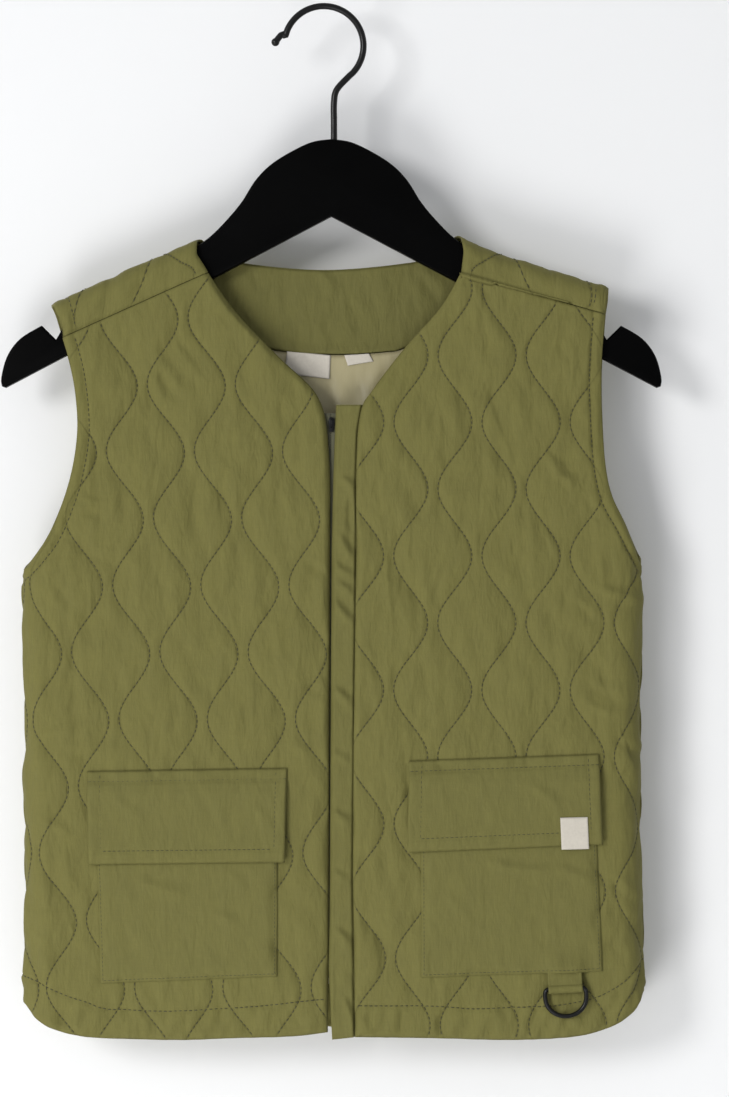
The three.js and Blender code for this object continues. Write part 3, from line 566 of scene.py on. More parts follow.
def quilt_line(pattern, k, z):
    """Where the quilting line of number k lies at a height, along the cloth."""
    swing = QUILT_SWING if k % 2 == 0 else -QUILT_SWING
    start = pattern["neck"] - QUILT_SPACING / 2 + pattern["lean"] * (z - pattern["row"])
    return start + k * QUILT_SPACING + swing * ogee_wave((z - pattern["row"]) / QUILT_PERIOD)


def quilt_cell(pattern, s, z):
    """The cell of the quilting at each place, its width, and the share of it that lies before."""
    lines = np.stack([quilt_line(pattern, k, z) for k in pattern["lines"]])
    cell = np.clip((lines <= s).sum(0) - 1, 0, len(lines) - 2)
    from_s = np.take_along_axis(lines, cell[None], 0)[0]
    to_s = np.take_along_axis(lines, cell[None] + 1, 0)[0]
    width = np.maximum(to_s - from_s, 1)
    return cell, width, (s - from_s) / width


def puff(pattern, s, z):
    """How far the wadding stands out between the quilting lines."""
    _, width, share = quilt_cell(pattern, s, z)
    edge = width * np.clip(np.minimum(share, 1 - share), 0, None)
    full = QUILT_RISE * np.sqrt(width / (QUILT_SPACING + 2 * QUILT_SWING))
    return full * (1 - np.exp(-edge / PUFF_EASE)) / (1 - np.exp(-width / 2 / PUFF_EASE))


def creased(rows, x, z, seed):
    """The height of the main creases at x and z: soft ridges or troughs, each with a hollow beside."""
    total = np.zeros(np.shape(x))
    ease = np.random.default_rng(seed).uniform(-1, 1, len(rows))
    for row, bend in zip(rows, ease):
        crease = dict(zip(CREASE_COLUMNS, row))
        dx, dz = crease["x2"] - crease["x1"], crease["z2"] - crease["z1"]
        size = math.hypot(dx, dz)
        along = ((x - crease["x1"]) * dx + (z - crease["z1"]) * dz) / size**2
        beside = ((x - crease["x1"]) * dz - (z - crease["z1"]) * dx) / size
        beside = beside + bend * 0.10 * size * (4 * along * (1 - along))
        width = crease["width"] * (0.75 + 0.5 * np.clip(along, 0, 1))
        taper = ramp(along, -0.12, 0.3) * ramp(along, 1.12, 0.6)
        body = bell(beside, width) - 0.5 * bell(beside, width, -1.9 * width)
        total += crease["height"] * taper * body
    return total


# Meshes

def coons(bottom, top, left, right):
    """A grid of places between four edges, bottom and top from left to right, the others upwards."""
    u = np.linspace(0, 1, len(bottom))[None, :, None]
    v = np.linspace(0, 1, len(left))[:, None, None]
    across = (1 - v) * bottom[None] + v * top[None]
    upward = (1 - u) * left[:, None] + u * right[:, None]
    corners = ((1 - u) * (1 - v) * bottom[0] + u * (1 - v) * bottom[-1]
               + (1 - u) * v * top[0] + u * v * top[-1])
    return across + upward - corners


def grid_between(edges, columns, rows):
    """An even grid of places between four edges: bottom, top, left and right."""
    bottom, top, left, right = edges
    return coons(evenly(bottom, columns), evenly(top, columns), evenly(left, rows), evenly(right, rows))


def around(bottom, top, left, right):
    """The outline that four edges make."""
    return np.vstack([bottom, right[1:], top[::-1][1:], left[::-1][1:-1]])


def grid_into(bm, points, places, cells=None):
    """Adds a grid of cloth to bm. Its uv maps are its places along the cloth, in metres, and the
    quilting's cells: which one it is, with the share of it that lies before, and its width.
    """
    rows, columns = points.shape[0] - 1, points.shape[1] - 1
    patch = bmesh.new()
    bmesh.ops.create_grid(patch, x_segments=columns, y_segments=rows, size=1.0, calc_uvs=False)
    uv = patch.loops.layers.uv.new("cloth")
    cell_uv = patch.loops.layers.uv.new("cells") if cells is not None else None
    for vert in patch.verts:
        i = round((vert.co.x + 1) / 2 * columns)
        j = round((vert.co.y + 1) / 2 * rows)
        vert.co = points[j, i] * MM
        place = places[j, i] * MM
        for loop in vert.link_loops:
            loop[uv].uv = place
            if cell_uv:
                loop[cell_uv].uv = cells[j, i]
    made = bpy.data.meshes.new("patch")
    patch.to_mesh(made)
    patch.free()
    bm.from_mesh(made)
    bpy.data.meshes.remove(made)


def finish_mesh(bm, name, finish, node=None, body="garment"):
    """Makes the object, and says its body and the node that it replaces."""
    for face in bm.faces:
        face.smooth = True
    mesh = bpy.data.meshes.new(name)
    bm.to_mesh(mesh)
    bm.free()
    mesh.materials.append(material(finish))
    obj = bpy.data.objects.new(name, mesh)
    bpy.context.scene.collection.objects.link(obj)
    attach(obj, body)
    if node:
        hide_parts(node)
    return obj


def thicken(obj, thickness, offset=-1):
    """Gives the sheet its thickness: away from the side that it faces, or to both sides if offset is 0."""
    shell = obj.modifiers.new("thickness", "SOLIDIFY")
    shell.thickness = thickness * MM
    shell.offset = offset
    shell.use_even_offset = False


def cloth_sheet(name, finish, points, places, thickness, node):
    """A plain sheet of cloth over a grid of points."""
    bm = bmesh.new()
    grid_into(bm, points, places)
    obj = finish_mesh(bm, name, finish, node)
    thicken(obj, thickness)
    return obj


def flat_area(places):
    """The area of a grid of places along the cloth, in square metres."""
    a, b = places[1:, :-1] - places[:-1, :-1], places[:-1, 1:] - places[:-1, :-1]
    c, d = places[1:, :-1] - places[1:, 1:], places[:-1, 1:] - places[1:, 1:]
    area = (np.abs(a[..., 0] * b[..., 1] - a[..., 1] * b[..., 0])
            + np.abs(c[..., 0] * d[..., 1] - c[..., 1] * d[..., 0])).sum() / 2
    return area * MM * MM


def declare(grids):
    """Works out the sheet's flat cut from the places along the cloth: its width, length and area, which
    nothing uses.
    """
    shortest_side, least_share = 0.01, 0.31
    flat = np.vstack([grid.reshape(-1, 2) for grid in grids])
    width, length = np.maximum(np.ptp(flat, axis=0) * MM, shortest_side)
    area = sum(flat_area(grid) for grid in grids)
    area = min(area, width * length)


def stitch_row(line, pitch):
    """Places of the stitches along a line: where each starts and ends."""
    count, parts = int(length_of(line) / pitch), 8
    if count < 1:
        return np.zeros((0, 2)), np.zeros((0, 2))
    ends = evenly(line, count * parts)
    return ends[1::parts][:count], ends[parts - 1::parts][:count]


def runs_inside(line, keep):
    """The stretches of a line where keep is true, without those of a few points."""
    fewest = 6
    edges = np.flatnonzero(np.diff(np.concatenate([[0], keep.astype(int), [0]])))
    return [line[a:b] for a, b in zip(edges[::2], edges[1::2]) if b - a > fewest]


def sew(name, rows, place, finish="thread", width=0.66, sunk=0.1, pitch=2.9, outward=1):
    """Joins one small stitch for each step along the rows, lying on the cloth that place gives."""
    overlap, flatness = 1.08, 0.8
    pairs = [stitch_row(row, pitch) for row in rows]
    start = np.vstack([a for a, _ in pairs])
    end = np.vstack([b for _, b in pairs])
    middle = (start + end) / 2
    from_point = place(start[:, 0], start[:, 1], 0)
    to_point = place(end[:, 0], end[:, 1], 0)
    centre = place(middle[:, 0], middle[:, 1], 0)
    step = 0.8
    across = place(middle[:, 0] + step, middle[:, 1], 0) - place(middle[:, 0] - step, middle[:, 1], 0)
    upward = place(middle[:, 0], middle[:, 1] + step, 0) - place(middle[:, 0], middle[:, 1] - step, 0)
    normal = np.cross(across, upward) * outward
    normal /= np.linalg.norm(normal, axis=1)[:, None]
    along = to_point - from_point
    size = np.linalg.norm(along, axis=1)[:, None]
    along /= size
    beside = np.cross(normal, along)
    template = bmesh.new()
    bmesh.ops.create_icosphere(template, subdivisions=1, radius=0.5)
    one = bpy.data.meshes.new("stitch")
    template.to_mesh(one)
    shape = np.array([vert.co[:] for vert in template.verts])
    template.free()
    bm = bmesh.new()
    for _ in range(len(centre)):
        bm.from_mesh(one)
    bpy.data.meshes.remove(one)
    points = (centre[:, None] + (normal * (width / 2 - sunk))[:, None]
              + shape[None, :, 0, None] * (along * size * overlap)[:, None]
              + shape[None, :, 1, None] * (beside * width)[:, None]
              + shape[None, :, 2, None] * (normal * width * flatness)[:, None])
    points = points.reshape(-1, 3) * MM
    for vert, point in zip(bm.verts, points):
        vert.co = point
    return finish_mesh(bm, name, finish)


class Panel:
    """A quilted panel: where its cloth lies, with its wadding, creases, bands and edges."""

    def __init__(self, name, point_at, outline, edges, seams, armholes, hem_stitch, seed, rolled=None):
        self.pattern = QUILTING[name]
        self.creases = CREASES[name]
        self.point_at = point_at
        self.outline = outline
        self.edges = edges
        self.seams = seams
        self.armholes = armholes
        self.hem_stitch = hem_stitch
        self.rolled = rolled
        self.seed = seed
        settings = bpy.context.scene.vest_quilting
        self.puff_share = settings.puff
        self.crease_share = settings.creases
        self.crinkle = settings.crinkle / MM

    def arm_puckers(self, apart, along):
        """The puckers of an armhole's band, just outside its sewing."""
        wave = np.sin(along * 1.45 + 1.6 * np.sin(along * 0.23))
        return 0.14 * wave * bell(apart, 1.8, 5.6)

    def hem_band(self, s, z):
        """The hem's band: its puckers below the sewing, and the groove of the sewing."""
        order = np.argsort(self.hem_stitch[:, 0])
        below = np.interp(s, self.hem_stitch[order, 0], self.hem_stitch[order, 1]) - z
        in_band = ramp(below, -0.4, 1.2)
        pucker = np.sin(s * 0.52 + below * 0.28 + 2.2 * np.sin(s * 0.071 + self.seed))
        pucker = pucker * (0.5 + 0.5 * uneven(s, z, 16, 40, self.seed + 7))
        return in_band * (0.2 + 0.75 * pucker) - 0.45 * bell(below, 0.9)

    def out(self, s, z):
        """How far the outside of the cloth stands from the garment's inside."""
        x, _, _ = round_section(s, z, WALL)
        shown_z = z
        quilted = self.puff_share * puff(self.pattern, s, z)
        if self.point_at is back_point:
            shown_z = back_point(s, z, WALL)[..., 2]
            rise = z - smooth_value(RIDGE, "x", "z", x) + ROLL_RADIUS
            quilted = quilted * (1 - 0.75 * bell(rise / ROLL_RADIUS, 1.4, math.pi / 2))
        total = WALL + 0 * x
        for line in self.armholes:
            apart, along = nearest(line, s, z)
            in_band = 1 - ramp(apart, ARM_SEWING - 0.8, ARM_SEWING + 0.8)
            quilted = quilted * (1 - 0.8 * in_band)
            total += bell(apart, 2.4, 3.1) - 0.55 * bell(apart, 0.9, ARM_SEWING)
            total += self.arm_puckers(apart, along)
        total += self.hem_band(s, z)
        free = np.min([nearest(line, s, z)[0] for line in self.edges], axis=0)
        seam = np.min([nearest(line, s, z)[0] for line in self.seams], axis=0)
        if self.rolled is not None:
            apart, _ = nearest(self.rolled, s, z)
            total -= 1.2 * np.clip(1 - apart / 4.6, 0, 1) ** 2
        at_seam = bell(seam, 6)
        quilted = quilted * (1 - at_seam) + at_seam
        total += quilted * ramp(free, 0, 3)
        total -= 0.45 * bell(free, 1.1) + 0.12 * bell(seam, 1.6)
        clear = ramp(free, 0, 3) * ramp(seam, 0, 8)
        total += self.crease_share * creased(self.creases, x, shown_z, self.seed) * clear
        fine = sum(share * uneven(s + lean * z, z, across, down, self.seed + order)
                   for order, (share, lean, across, down) in enumerate(CRINKLES, 1))
        return total + self.crinkle * fine * clear

    def place(self, s, z, lift):
        return self.point_at(s, z, self.out(s, z) + lift)

    def cells(self, places):
        cell, width, share = quilt_cell(self.pattern, places[..., 0], places[..., 1])
        return np.stack([cell + share, width * MM], -1)


def quilting_rows(panel, margin=1.2):
    """The quilting lines inside the panel, clear of its bands."""
    clear_of_arm = ARM_SEWING + 0.4
    rows = []
    heights = np.arange(panel.outline[:, 1].min(), panel.outline[:, 1].max(), 0.7)
    for k in panel.pattern["lines"]:
        line = np.stack([quilt_line(panel.pattern, k, heights), heights], 1)
        keep = inside(panel.outline, line[:, 0], line[:, 1])
        if not keep.any():
            continue
        keep &= nearest(panel.outline, line[:, 0], line[:, 1])[0] > margin
        for edge in panel.armholes:
            keep &= nearest(edge, line[:, 0], line[:, 1])[0] > clear_of_arm
        rows += runs_inside(line, keep)
    return rows


# Materials

class Wire:
    """A value in a node tree, on which arithmetic adds Math nodes."""

    def __init__(self, shader, socket):
        self.shader = shader
        self.socket = socket

    def maths(self, operation, *values):
        return self.shader.node("ShaderNodeMath", {"operation": operation}, dict(enumerate(values)))

    def __add__(self, other):
        return self.maths("ADD", self, other)

    def __radd__(self, other):
        return self.maths("ADD", other, self)

    def __sub__(self, other):
        return self.maths("SUBTRACT", self, other)

    def __rsub__(self, other):
        return self.maths("SUBTRACT", other, self)

    def __mul__(self, other):
        return self.maths("MULTIPLY", self, other)

    def sine(self):
        return self.maths("SINE", self)

    def clamped(self):
        return self.shader.node("ShaderNodeClamp", {}, {"Value": self, "Min": 0.0, "Max": 1.0})


class Shader:
    """A material's node tree round one Principled shader."""

    def __init__(self, name):
        self.material = bpy.data.materials.new(name)
        self.material.use_nodes = True
        self.tree = self.material.node_tree
        self.surface = self.tree.nodes["Principled BSDF"]

    def node(self, kind, settings, inputs, output=0):
        made = self.tree.nodes.new(kind)
        for name, value in settings.items():
            setattr(made, name, value)
        for name, value in inputs.items():
            self.put(made.inputs[name], value)
        return Wire(self, made.outputs[output])

    def put(self, socket, value):
        if isinstance(value, Wire):
            self.tree.links.new(value.socket, socket)
        else:
            socket.default_value = value

    def set(self, **values):
        for name, value in values.items():
            self.put(self.surface.inputs[name.replace("_", " ")], value)

    def cloth_place(self):
        return self.node("ShaderNodeUVMap", {"uv_map": "cloth"}, {})

    def object_place(self):
        return self.node("ShaderNodeTexCoord", {}, {}, "Object")

    def stretched(self, place, scale):
        return self.node("ShaderNodeVectorMath", {"operation": "MULTIPLY"}, {0: place, 1: scale})

    def split(self, place):
        made = self.node("ShaderNodeSeparateXYZ", {}, {"Vector": place})
        outputs = made.socket.node.outputs
        return Wire(self, outputs[0]), Wire(self, outputs[1]), Wire(self, outputs[2])

    def noise(self, place, scale, detail=2.0, roughness=0.5, distortion=0.0):
        return self.node("ShaderNodeTexNoise", {}, {
            "Vector": place, "Scale": scale, "Detail": detail, "Roughness": roughness,
            "Distortion": distortion,
        }, "Fac")

    def blend(self, factor, first, second):
        return self.node("ShaderNodeMix", {"data_type": "RGBA"}, {0: factor, 6: first, 7: second}, 2)

    def bump(self, height, distance, strength=1.0, below=None):
        inputs = {"Height": height, "Distance": distance, "Strength": strength}
        if below is not None:
            inputs["Normal"] = below
        return self.node("ShaderNodeBump", {}, inputs)


def colour(values, shade=1.0):
    return (*[channel * shade for channel in values], 1.0)


def woven(name, base, quilted=False, waves=1.0):
    """Thin plain weave: slubs along both ways of the cloth, fine crinkles and the weave itself.

    Quilted cloth has a valley along each of its lines too: bumped in, and with painted shade that darkens
    its colour there.
    """
    thread_pitch, streaks, crinkle = 0.42, 0.12, 0.6
    shader = Shader(name)
    place = shader.cloth_place()
    down = shader.noise(shader.stretched(place, (1200, 110, 1)), 1.0, 3.0, 0.6)
    across = shader.noise(shader.stretched(place, (110, 1100, 1)), 1.0, 3.0, 0.6)
    mottle = shader.noise(shader.stretched(place, (120, 70, 1)), 1.0, 3.0, 0.55)
    fine = shader.noise(shader.stretched(place, (2600, 2600, 1)), 1.0, 1.0, 0.5)
    tone = (0.5 + (down - 0.5) * 1.1 + (across - 0.5) * 0.6 + (mottle - 0.5) * 0.7
            + (fine - 0.5) * 0.5).clamped()
    shade = shader.blend(tone, colour(base, 1 - streaks), colour(base, 1 + streaks))
    shader.set(Roughness=0.8 + (mottle - 0.5) * 0.12)
    u, v, _ = shader.split(place)
    turn = 2 * math.pi / (thread_pitch * MM)
    weave = (u * turn).sine() * (v * turn).sine()
    folds = shader.noise(shader.stretched(place, (120, 42, 1)), 1.0, 2.0, 0.45, 0.4)
    wrinkle = shader.noise(shader.stretched(place, (330, 120, 1)), 1.0, 2.0, 0.5, 0.8)
    soft = shader.bump(folds * waves + wrinkle * 0.22 * waves, crinkle * 3 * MM)
    if quilted:
        share, width, _ = shader.split(shader.node("ShaderNodeUVMap", {"uv_map": "cells"}, {}))
        part = share.maths("FRACT", share)
        edge = part.maths("MINIMUM", part, 1 - part) * width * (1 / MM)
        valley = edge.maths("EXPONENT", edge * edge * -2.6)
        # painted shade: the colour darkens towards 0.45 of the base along each quilting line's valley
        shade = shader.blend(valley * 0.3, shade, colour(base, 0.45))
        soft = shader.bump(valley * -1.0, 0.22 * MM, 0.9, soft)
    shader.set(Base_Color=shade)
    shader.set(Normal=shader.bump(down * 0.7 + across * 0.4 + weave * 0.12, 0.16 * MM, 0.7, soft))
    shader.set(Sheen_Weight=0.05, Sheen_Roughness=0.5, Sheen_Tint=colour(base, 1.6))
    shader.set(Specular_IOR_Level=0.2)
    return shader.material


def thread(name, base):
    """Twisted thread, also for the zip's coil."""
    shader = Shader(name)
    place = shader.object_place()
    twist = shader.noise(place, 2600.0, 2.0)
    shader.set(Base_Color=shader.blend(twist, colour(base, 0.75), colour(base, 1.3)), Roughness=0.7)
    shader.set(Normal=shader.bump(twist, 0.1 * MM, 0.5))
    return shader.material


def satin(name, base):
    """Smooth lining with a soft sheen and very fine vertical threads."""
    shader = Shader(name)
    place = shader.cloth_place()
    threads = shader.noise(shader.stretched(place, (1800, 90, 1)), 1.0, 2.0)
    drift = shader.noise(shader.stretched(place, (40, 25, 1)), 1.0, 2.0)
    tone = (threads * 0.6 + drift * 0.4).clamped()
    shader.set(Base_Color=shader.blend(tone, colour(base, 0.92), colour(base, 1.08)))
    shader.set(Roughness=0.42 + (drift - 0.5) * 0.2, Sheen_Weight=0.3, Specular_IOR_Level=0.5)
    folds = shader.noise(shader.stretched(place, (60, 24, 1)), 1.0, 2.0, 0.5, 0.6)
    shader.set(Normal=shader.bump(threads, 0.05 * MM, 0.5, shader.bump(folds, 1.2 * MM)))
    return shader.material


def label_weave(name, base):
    """Close woven tape: a fine rib across and a soft bloom."""
    shader = Shader(name)
    place = shader.cloth_place()
    u, v, _ = shader.split(place)
    rib = (v * (2 * math.pi / (0.5 * MM))).sine() * 0.5 + (u * (2 * math.pi / (0.36 * MM))).sine() * 0.3
    bloom = shader.noise(shader.stretched(place, (700, 500, 1)), 1.0, 3.0)
    tone = (bloom + rib * 0.08).clamped()
    shader.set(Base_Color=shader.blend(tone, colour(base, 0.88), colour(base, 1.06)), Roughness=0.85)
    shader.set(Normal=shader.bump(rib + bloom, 0.08 * MM, 0.7), Sheen_Weight=0.2)
    return shader.material


def tape_weave(name, base):
    """Slanting ribs of a zip's tape."""
    pitch = 1.1
    shader = Shader(name)
    place = shader.cloth_place()
    u, v, _ = shader.split(place)
    turn = 2 * math.pi / (pitch * MM)
    slant = ((u + v) * turn).sine() * 0.5 + 0.5
    fuzz = shader.noise(shader.stretched(place, (1500, 1500, 1)), 1.0, 2.0)
    tone = (slant * 0.5 + fuzz * 0.5).clamped()
    shader.set(Base_Color=shader.blend(tone, colour(base, 0.78), colour(base, 1.18)), Roughness=0.8)
    shader.set(Normal=shader.bump(slant + fuzz * 0.4, 0.16 * MM, 0.8), Sheen_Weight=0.15)
    return shader.material


def moulded(name, base):
    """Black moulded plastic with a fine even grain and faint handling marks."""
    shader = Shader(name)
    place = shader.object_place()
    grain = shader.noise(place, 1400.0, 3.0)
    marks = shader.noise(place, 30.0, 3.0)
    shader.set(Base_Color=shader.blend(marks, colour(base, 0.8), colour(base, 1.3)))
    shader.set(Roughness=0.42 + (marks - 0.5) * 0.18 + (grain - 0.5) * 0.08)
    shader.set(Normal=shader.bump(grain, 0.04 * MM, 0.5), Specular_IOR_Level=0.03)
    return shader.material


def coated_metal(name, base):
    """Black coated wire, its coat a little uneven."""
    shader = Shader(name)
    place = shader.object_place()
    coat = shader.noise(place, 220.0, 3.0)
    shader.set(Base_Color=shader.blend(coat, colour(base, 0.7), colour(base, 1.4)), Metallic=0.1)
    shader.set(Roughness=0.32 + (coat - 0.5) * 0.2, Normal=shader.bump(coat, 0.06 * MM, 0.4))
    shader.set(Specular_IOR_Level=0.25, Coat_Weight=0.1)
    return shader.material


_materials = {}


def material(name):
    """Each finish is made once, from the colours in the settings."""
    tones = bpy.context.scene.vest_finishes
    makers = {
        "quilted": lambda: woven("quilted_cloth", tones.cloth, True),
        "plain": lambda: woven("plain_cloth", tones.plain, waves=0.7),
        "facing": lambda: woven("facing_cloth", tones.facing),
        "lining": lambda: satin("lining_satin", tones.lining),
        "label": lambda: label_weave("label_weave", tones.label),
        "thread": lambda: thread("thread_dark", tones.thread),
        "tape": lambda: tape_weave("zip_tape_weave", tones.zip_tape),
        "coil": lambda: thread("zip_coil", tones.coil),
        "plastic": lambda: moulded("black_plastic", tones.plastic),
        "metal": lambda: coated_metal("black_metal", tones.metal),
    }
    if name not in _materials:
        _materials[name] = makers[name]()
    return _materials[name]


# Settings

def colour_property(name, description, default):
    return bpy.props.FloatVectorProperty(
        name=name, description=description, default=default, size=3, min=0.0, max=1.0, subtype="COLOR")


class VestQuilting(bpy.types.PropertyGroup):
    """Sizes of the quilting and of the cloth's creases."""

    puff: bpy.props.FloatProperty(
        name="Puff", description="Height of the wadding, as a share of its full height",
        default=1.0, min=0.0, max=1.5, subtype="FACTOR")
    creases: bpy.props.FloatProperty(
        name="Creases", description="Height of the main creases, as a share of the tables'",
        default=1.0, min=0.0, max=2.0, subtype="FACTOR")
    crinkle: bpy.props.FloatProperty(
        name="Crinkle", description="Height of the fine crinkles",
        default=0.0008, min=0.0, max=0.001, unit="LENGTH", subtype="DISTANCE", precision=5)
    stitch: bpy.props.FloatProperty(
        name="Stitch", description="Length of one stitch with its gap",
        default=0.0029, min=0.0015, max=0.006, unit="LENGTH", subtype="DISTANCE", precision=4)


class VestFinishes(bpy.types.PropertyGroup):
    """Colours of the cloth and the trims."""

    cloth: colour_property("Quilted cloth", "Base colour of the quilted cloth", (0.131, 0.121, 0.0345))
    plain: colour_property("Plain cloth", "Base colour of the pockets and the strip", (0.126, 0.117, 0.034))
    facing: colour_property("Facing", "Base colour of the back neck facing", (0.114, 0.106, 0.031))
    lining: colour_property("Lining", "Base colour of the lining", (0.31, 0.27, 0.145))
    label: colour_property("Labels", "Base colour of the bare labels", (0.52, 0.48, 0.41))
    thread: colour_property("Thread", "Colour of the stitching", (0.040, 0.037, 0.012))
    zip_tape: colour_property("Zip tape", "Base colour of the zip's tape", (0.085, 0.083, 0.045))
    coil: colour_property("Zip coil", "Colour of the zip's coil", (0.05, 0.05, 0.03))
    plastic: colour_property("Hanger", "Colour of the hanger's plastic", (0.0008, 0.0008, 0.0008))
    metal: colour_property("Metal", "Colour of the hook and the ring", (0.0015, 0.0015, 0.0015))


class VestStage(bpy.types.PropertyGroup):
    """Light and backdrop."""

    key: bpy.props.FloatProperty(
        name="Key light", description="Strength of the soft light from the upper left",
        default=52.0, min=0.0, unit="POWER")
    fill: bpy.props.FloatProperty(
        name="Fill light", description="Strength of the light from the lower left",
        default=19.0, min=0.0, unit="POWER")
    wall_gap: bpy.props.FloatProperty(
        name="Wall", description="Distance from the hook to the wall behind",
        default=0.034, min=0.03, max=1.0, unit="LENGTH", subtype="DISTANCE")


# Outlines of the panels in the cloth

def front_sides(side):
    """Bottom, top, left and right edge of a front, in x and z as seen."""
    if side == "right":
        arm = curved(RIGHT_ARM[::-1])
        return (
            curved(RIGHT_HEM),
            np.array([RIGHT_ARM[0], RIGHT_NECK[0]]),
            np.vstack([[(-204.0, RIGHT_HEM[0][1])], arm]),
            np.vstack([[RIGHT_HEM[-1], (3.5, -528.5)], curved(RIGHT_NECK[::-1])]),
        )
    arm = curved(LEFT_ARM[::-1])
    return (
        curved(LEFT_HEM),
        np.array([LEFT_NECK[0], LEFT_ARM[0]]),
        np.vstack([[LEFT_HEM[0], (18.4, -560.0), (17.6, -503.7), (17.9, -423.0)], curved(LEFT_NECK[::-1])]),
        np.vstack([[(210.0, LEFT_HEM[-1][1])], arm]),
    )


def densely(line, step=1.5):
    return evenly(line, max(2, int(length_of(line) / step)))


def quilted_piece(panel, name, node, grids, sewing, outward=1):
    """A panel's cloth over its grids, with the stitches of its quilting and of its other sewing."""
    bm = bmesh.new()
    for places in grids:
        grid_into(bm, panel.place(places[..., 0], places[..., 1], 0), places, panel.cells(places))
    if len(grids) > 1:
        bmesh.ops.remove_doubles(bm, verts=bm.verts, dist=0.02 * MM)
    obj = finish_mesh(bm, f"{name}_cloth", "quilted", node)
    thicken(obj, THICKNESS["quilted"])
    pitch = bpy.context.scene.vest_quilting.stitch / MM
    rows = quilting_rows(panel) + [trimmed(line, panel, margin) for line, margin in sewing]
    stitches = sew(f"{name}_stitches", rows, panel.place, pitch=pitch, outward=outward)
    declare(grids)


def make_front(side):
    """One front. The right one's centre edge is rolled in a little, and the left one's lies flat."""
    front = FRONTS[side]
    edges = [to_cloth(densely(line)) for line in front_sides(side)]
    bottom, top, left, right = edges
    arm = to_cloth(densely(curved(front["arm"])))
    stitch = to_cloth(densely(curved(front["hem_stitch"])))
    if side == "right":
        centre, rolled, arm_up = right, right, arm
    else:
        centre, rolled, arm_up = left, None, arm[::-1]
    panel = Panel(side, front_point, around(*edges), [bottom, centre, arm], [top], [arm], stitch,
                  front["seed"], rolled)
    columns, rows = 138, 300
    places = grid_between(edges, columns, rows)
    sewing = [(offset_line(arm_up, ARM_SEWING), ROW_MARGIN), (densely(stitch, 0.7), ROW_MARGIN)]
    name = f"front_{side}"
    quilted_piece(panel, name, name, [places], sewing)
    return panel


def trimmed(line, panel, margin):
    """The longest stretch of the line that lies inside the panel."""
    keep = inside(panel.outline, line[:, 0], line[:, 1])
    keep &= nearest(panel.outline, line[:, 0], line[:, 1])[0] > margin
    return max(runs_inside(line, keep), key=len)


def make_back():
    """The back with its wraps over the shoulders, as one sheet."""
    def shoulder(side, count):
        wrap = WRAPS[side]
        xs = np.linspace(wrap["neck"][0][1], wrap["arm"][0][1], count + 1)
        return np.stack([xs, smooth_value(RIDGE, "x", "z", xs) - ROLL_RADIUS], 1)

    shoulder_columns, neck_columns = 42, 78
    left_shoulder = shoulder("left", shoulder_columns)[::-1]
    right_shoulder = shoulder("right", shoulder_columns)
    neck = evenly(curved(BACK_NECK), neck_columns)[::-1]
    top = np.vstack([left_shoulder, neck[1:-1], right_shoulder])
    hem = np.vstack([curved(RIGHT_HEM), curved(LEFT_HEM)])[::-1]
    rows = 212
    left_arm = np.array([(x + ARM_EASE, z) for x, z in LEFT_ARM[1:]])
    right_arm = np.array([(x - ARM_EASE, z) for x, z in RIGHT_ARM[1:]])
    left_edge = np.vstack([[(210.0, LEFT_HEM[-1][1])], curved(np.vstack([left_arm[::-1], top[:1]]))])
    right_edge = np.vstack([[(-210.0, RIGHT_HEM[0][1])], curved(np.vstack([right_arm[::-1], top[-1:]]))])
    bottom = to_cloth(densely(hem))
    share = distances(top) / distances(top)[-1]
    bottom_even = points_along(bottom, share * distances(bottom)[-1])
    left_line, right_line = to_cloth(densely(left_edge)), to_cloth(densely(right_edge))
    body = coons(bottom_even, to_cloth(top), evenly(left_line, rows), evenly(right_line, rows))
    left_wrap = wrap_grid("left", to_cloth(left_shoulder))
    right_wrap = wrap_grid("right", to_cloth(right_shoulder))
    neck_line = to_cloth(neck)
    outline = np.vstack([
        bottom, right_line[1:], right_wrap[1:, -1], right_wrap[-1, ::-1][1:], right_wrap[::-1, 0][1:],
        neck_line[::-1][1:-1], left_wrap[:, -1], left_wrap[-1, ::-1][1:], left_wrap[::-1, 0][1:],
        left_line[::-1][1:-1],
    ])
    armholes = [
        np.vstack([to_cloth(densely(left_edge[1:])), left_wrap[1:, 0]]),
        np.vstack([to_cloth(densely(right_edge[1:])), right_wrap[1:, -1]]),
    ]
    stitch = to_cloth(densely(np.vstack([curved(RIGHT_HEM_STITCH), curved(LEFT_HEM_STITCH)])[::-1]))
    edges = [bottom, neck_line, left_wrap[:, -1], right_wrap[:, 0], *armholes]
    seams = [left_wrap[-1], right_wrap[-1]]
    panel = Panel("back", back_point, outline, edges, seams, armholes, stitch, seed=37)
    sewing = [
        (densely(stitch, 0.7), ROW_MARGIN),
        (offset_line(armholes[0], ARM_SEWING), ROW_MARGIN),
        (offset_line(armholes[1], -ARM_SEWING), ROW_MARGIN),
        (offset_line(neck_line, NECK_SEWING), NECK_MARGIN),
    ]
    quilted_piece(panel, "back", "back_panel", [body, left_wrap, right_wrap], sewing, -1)


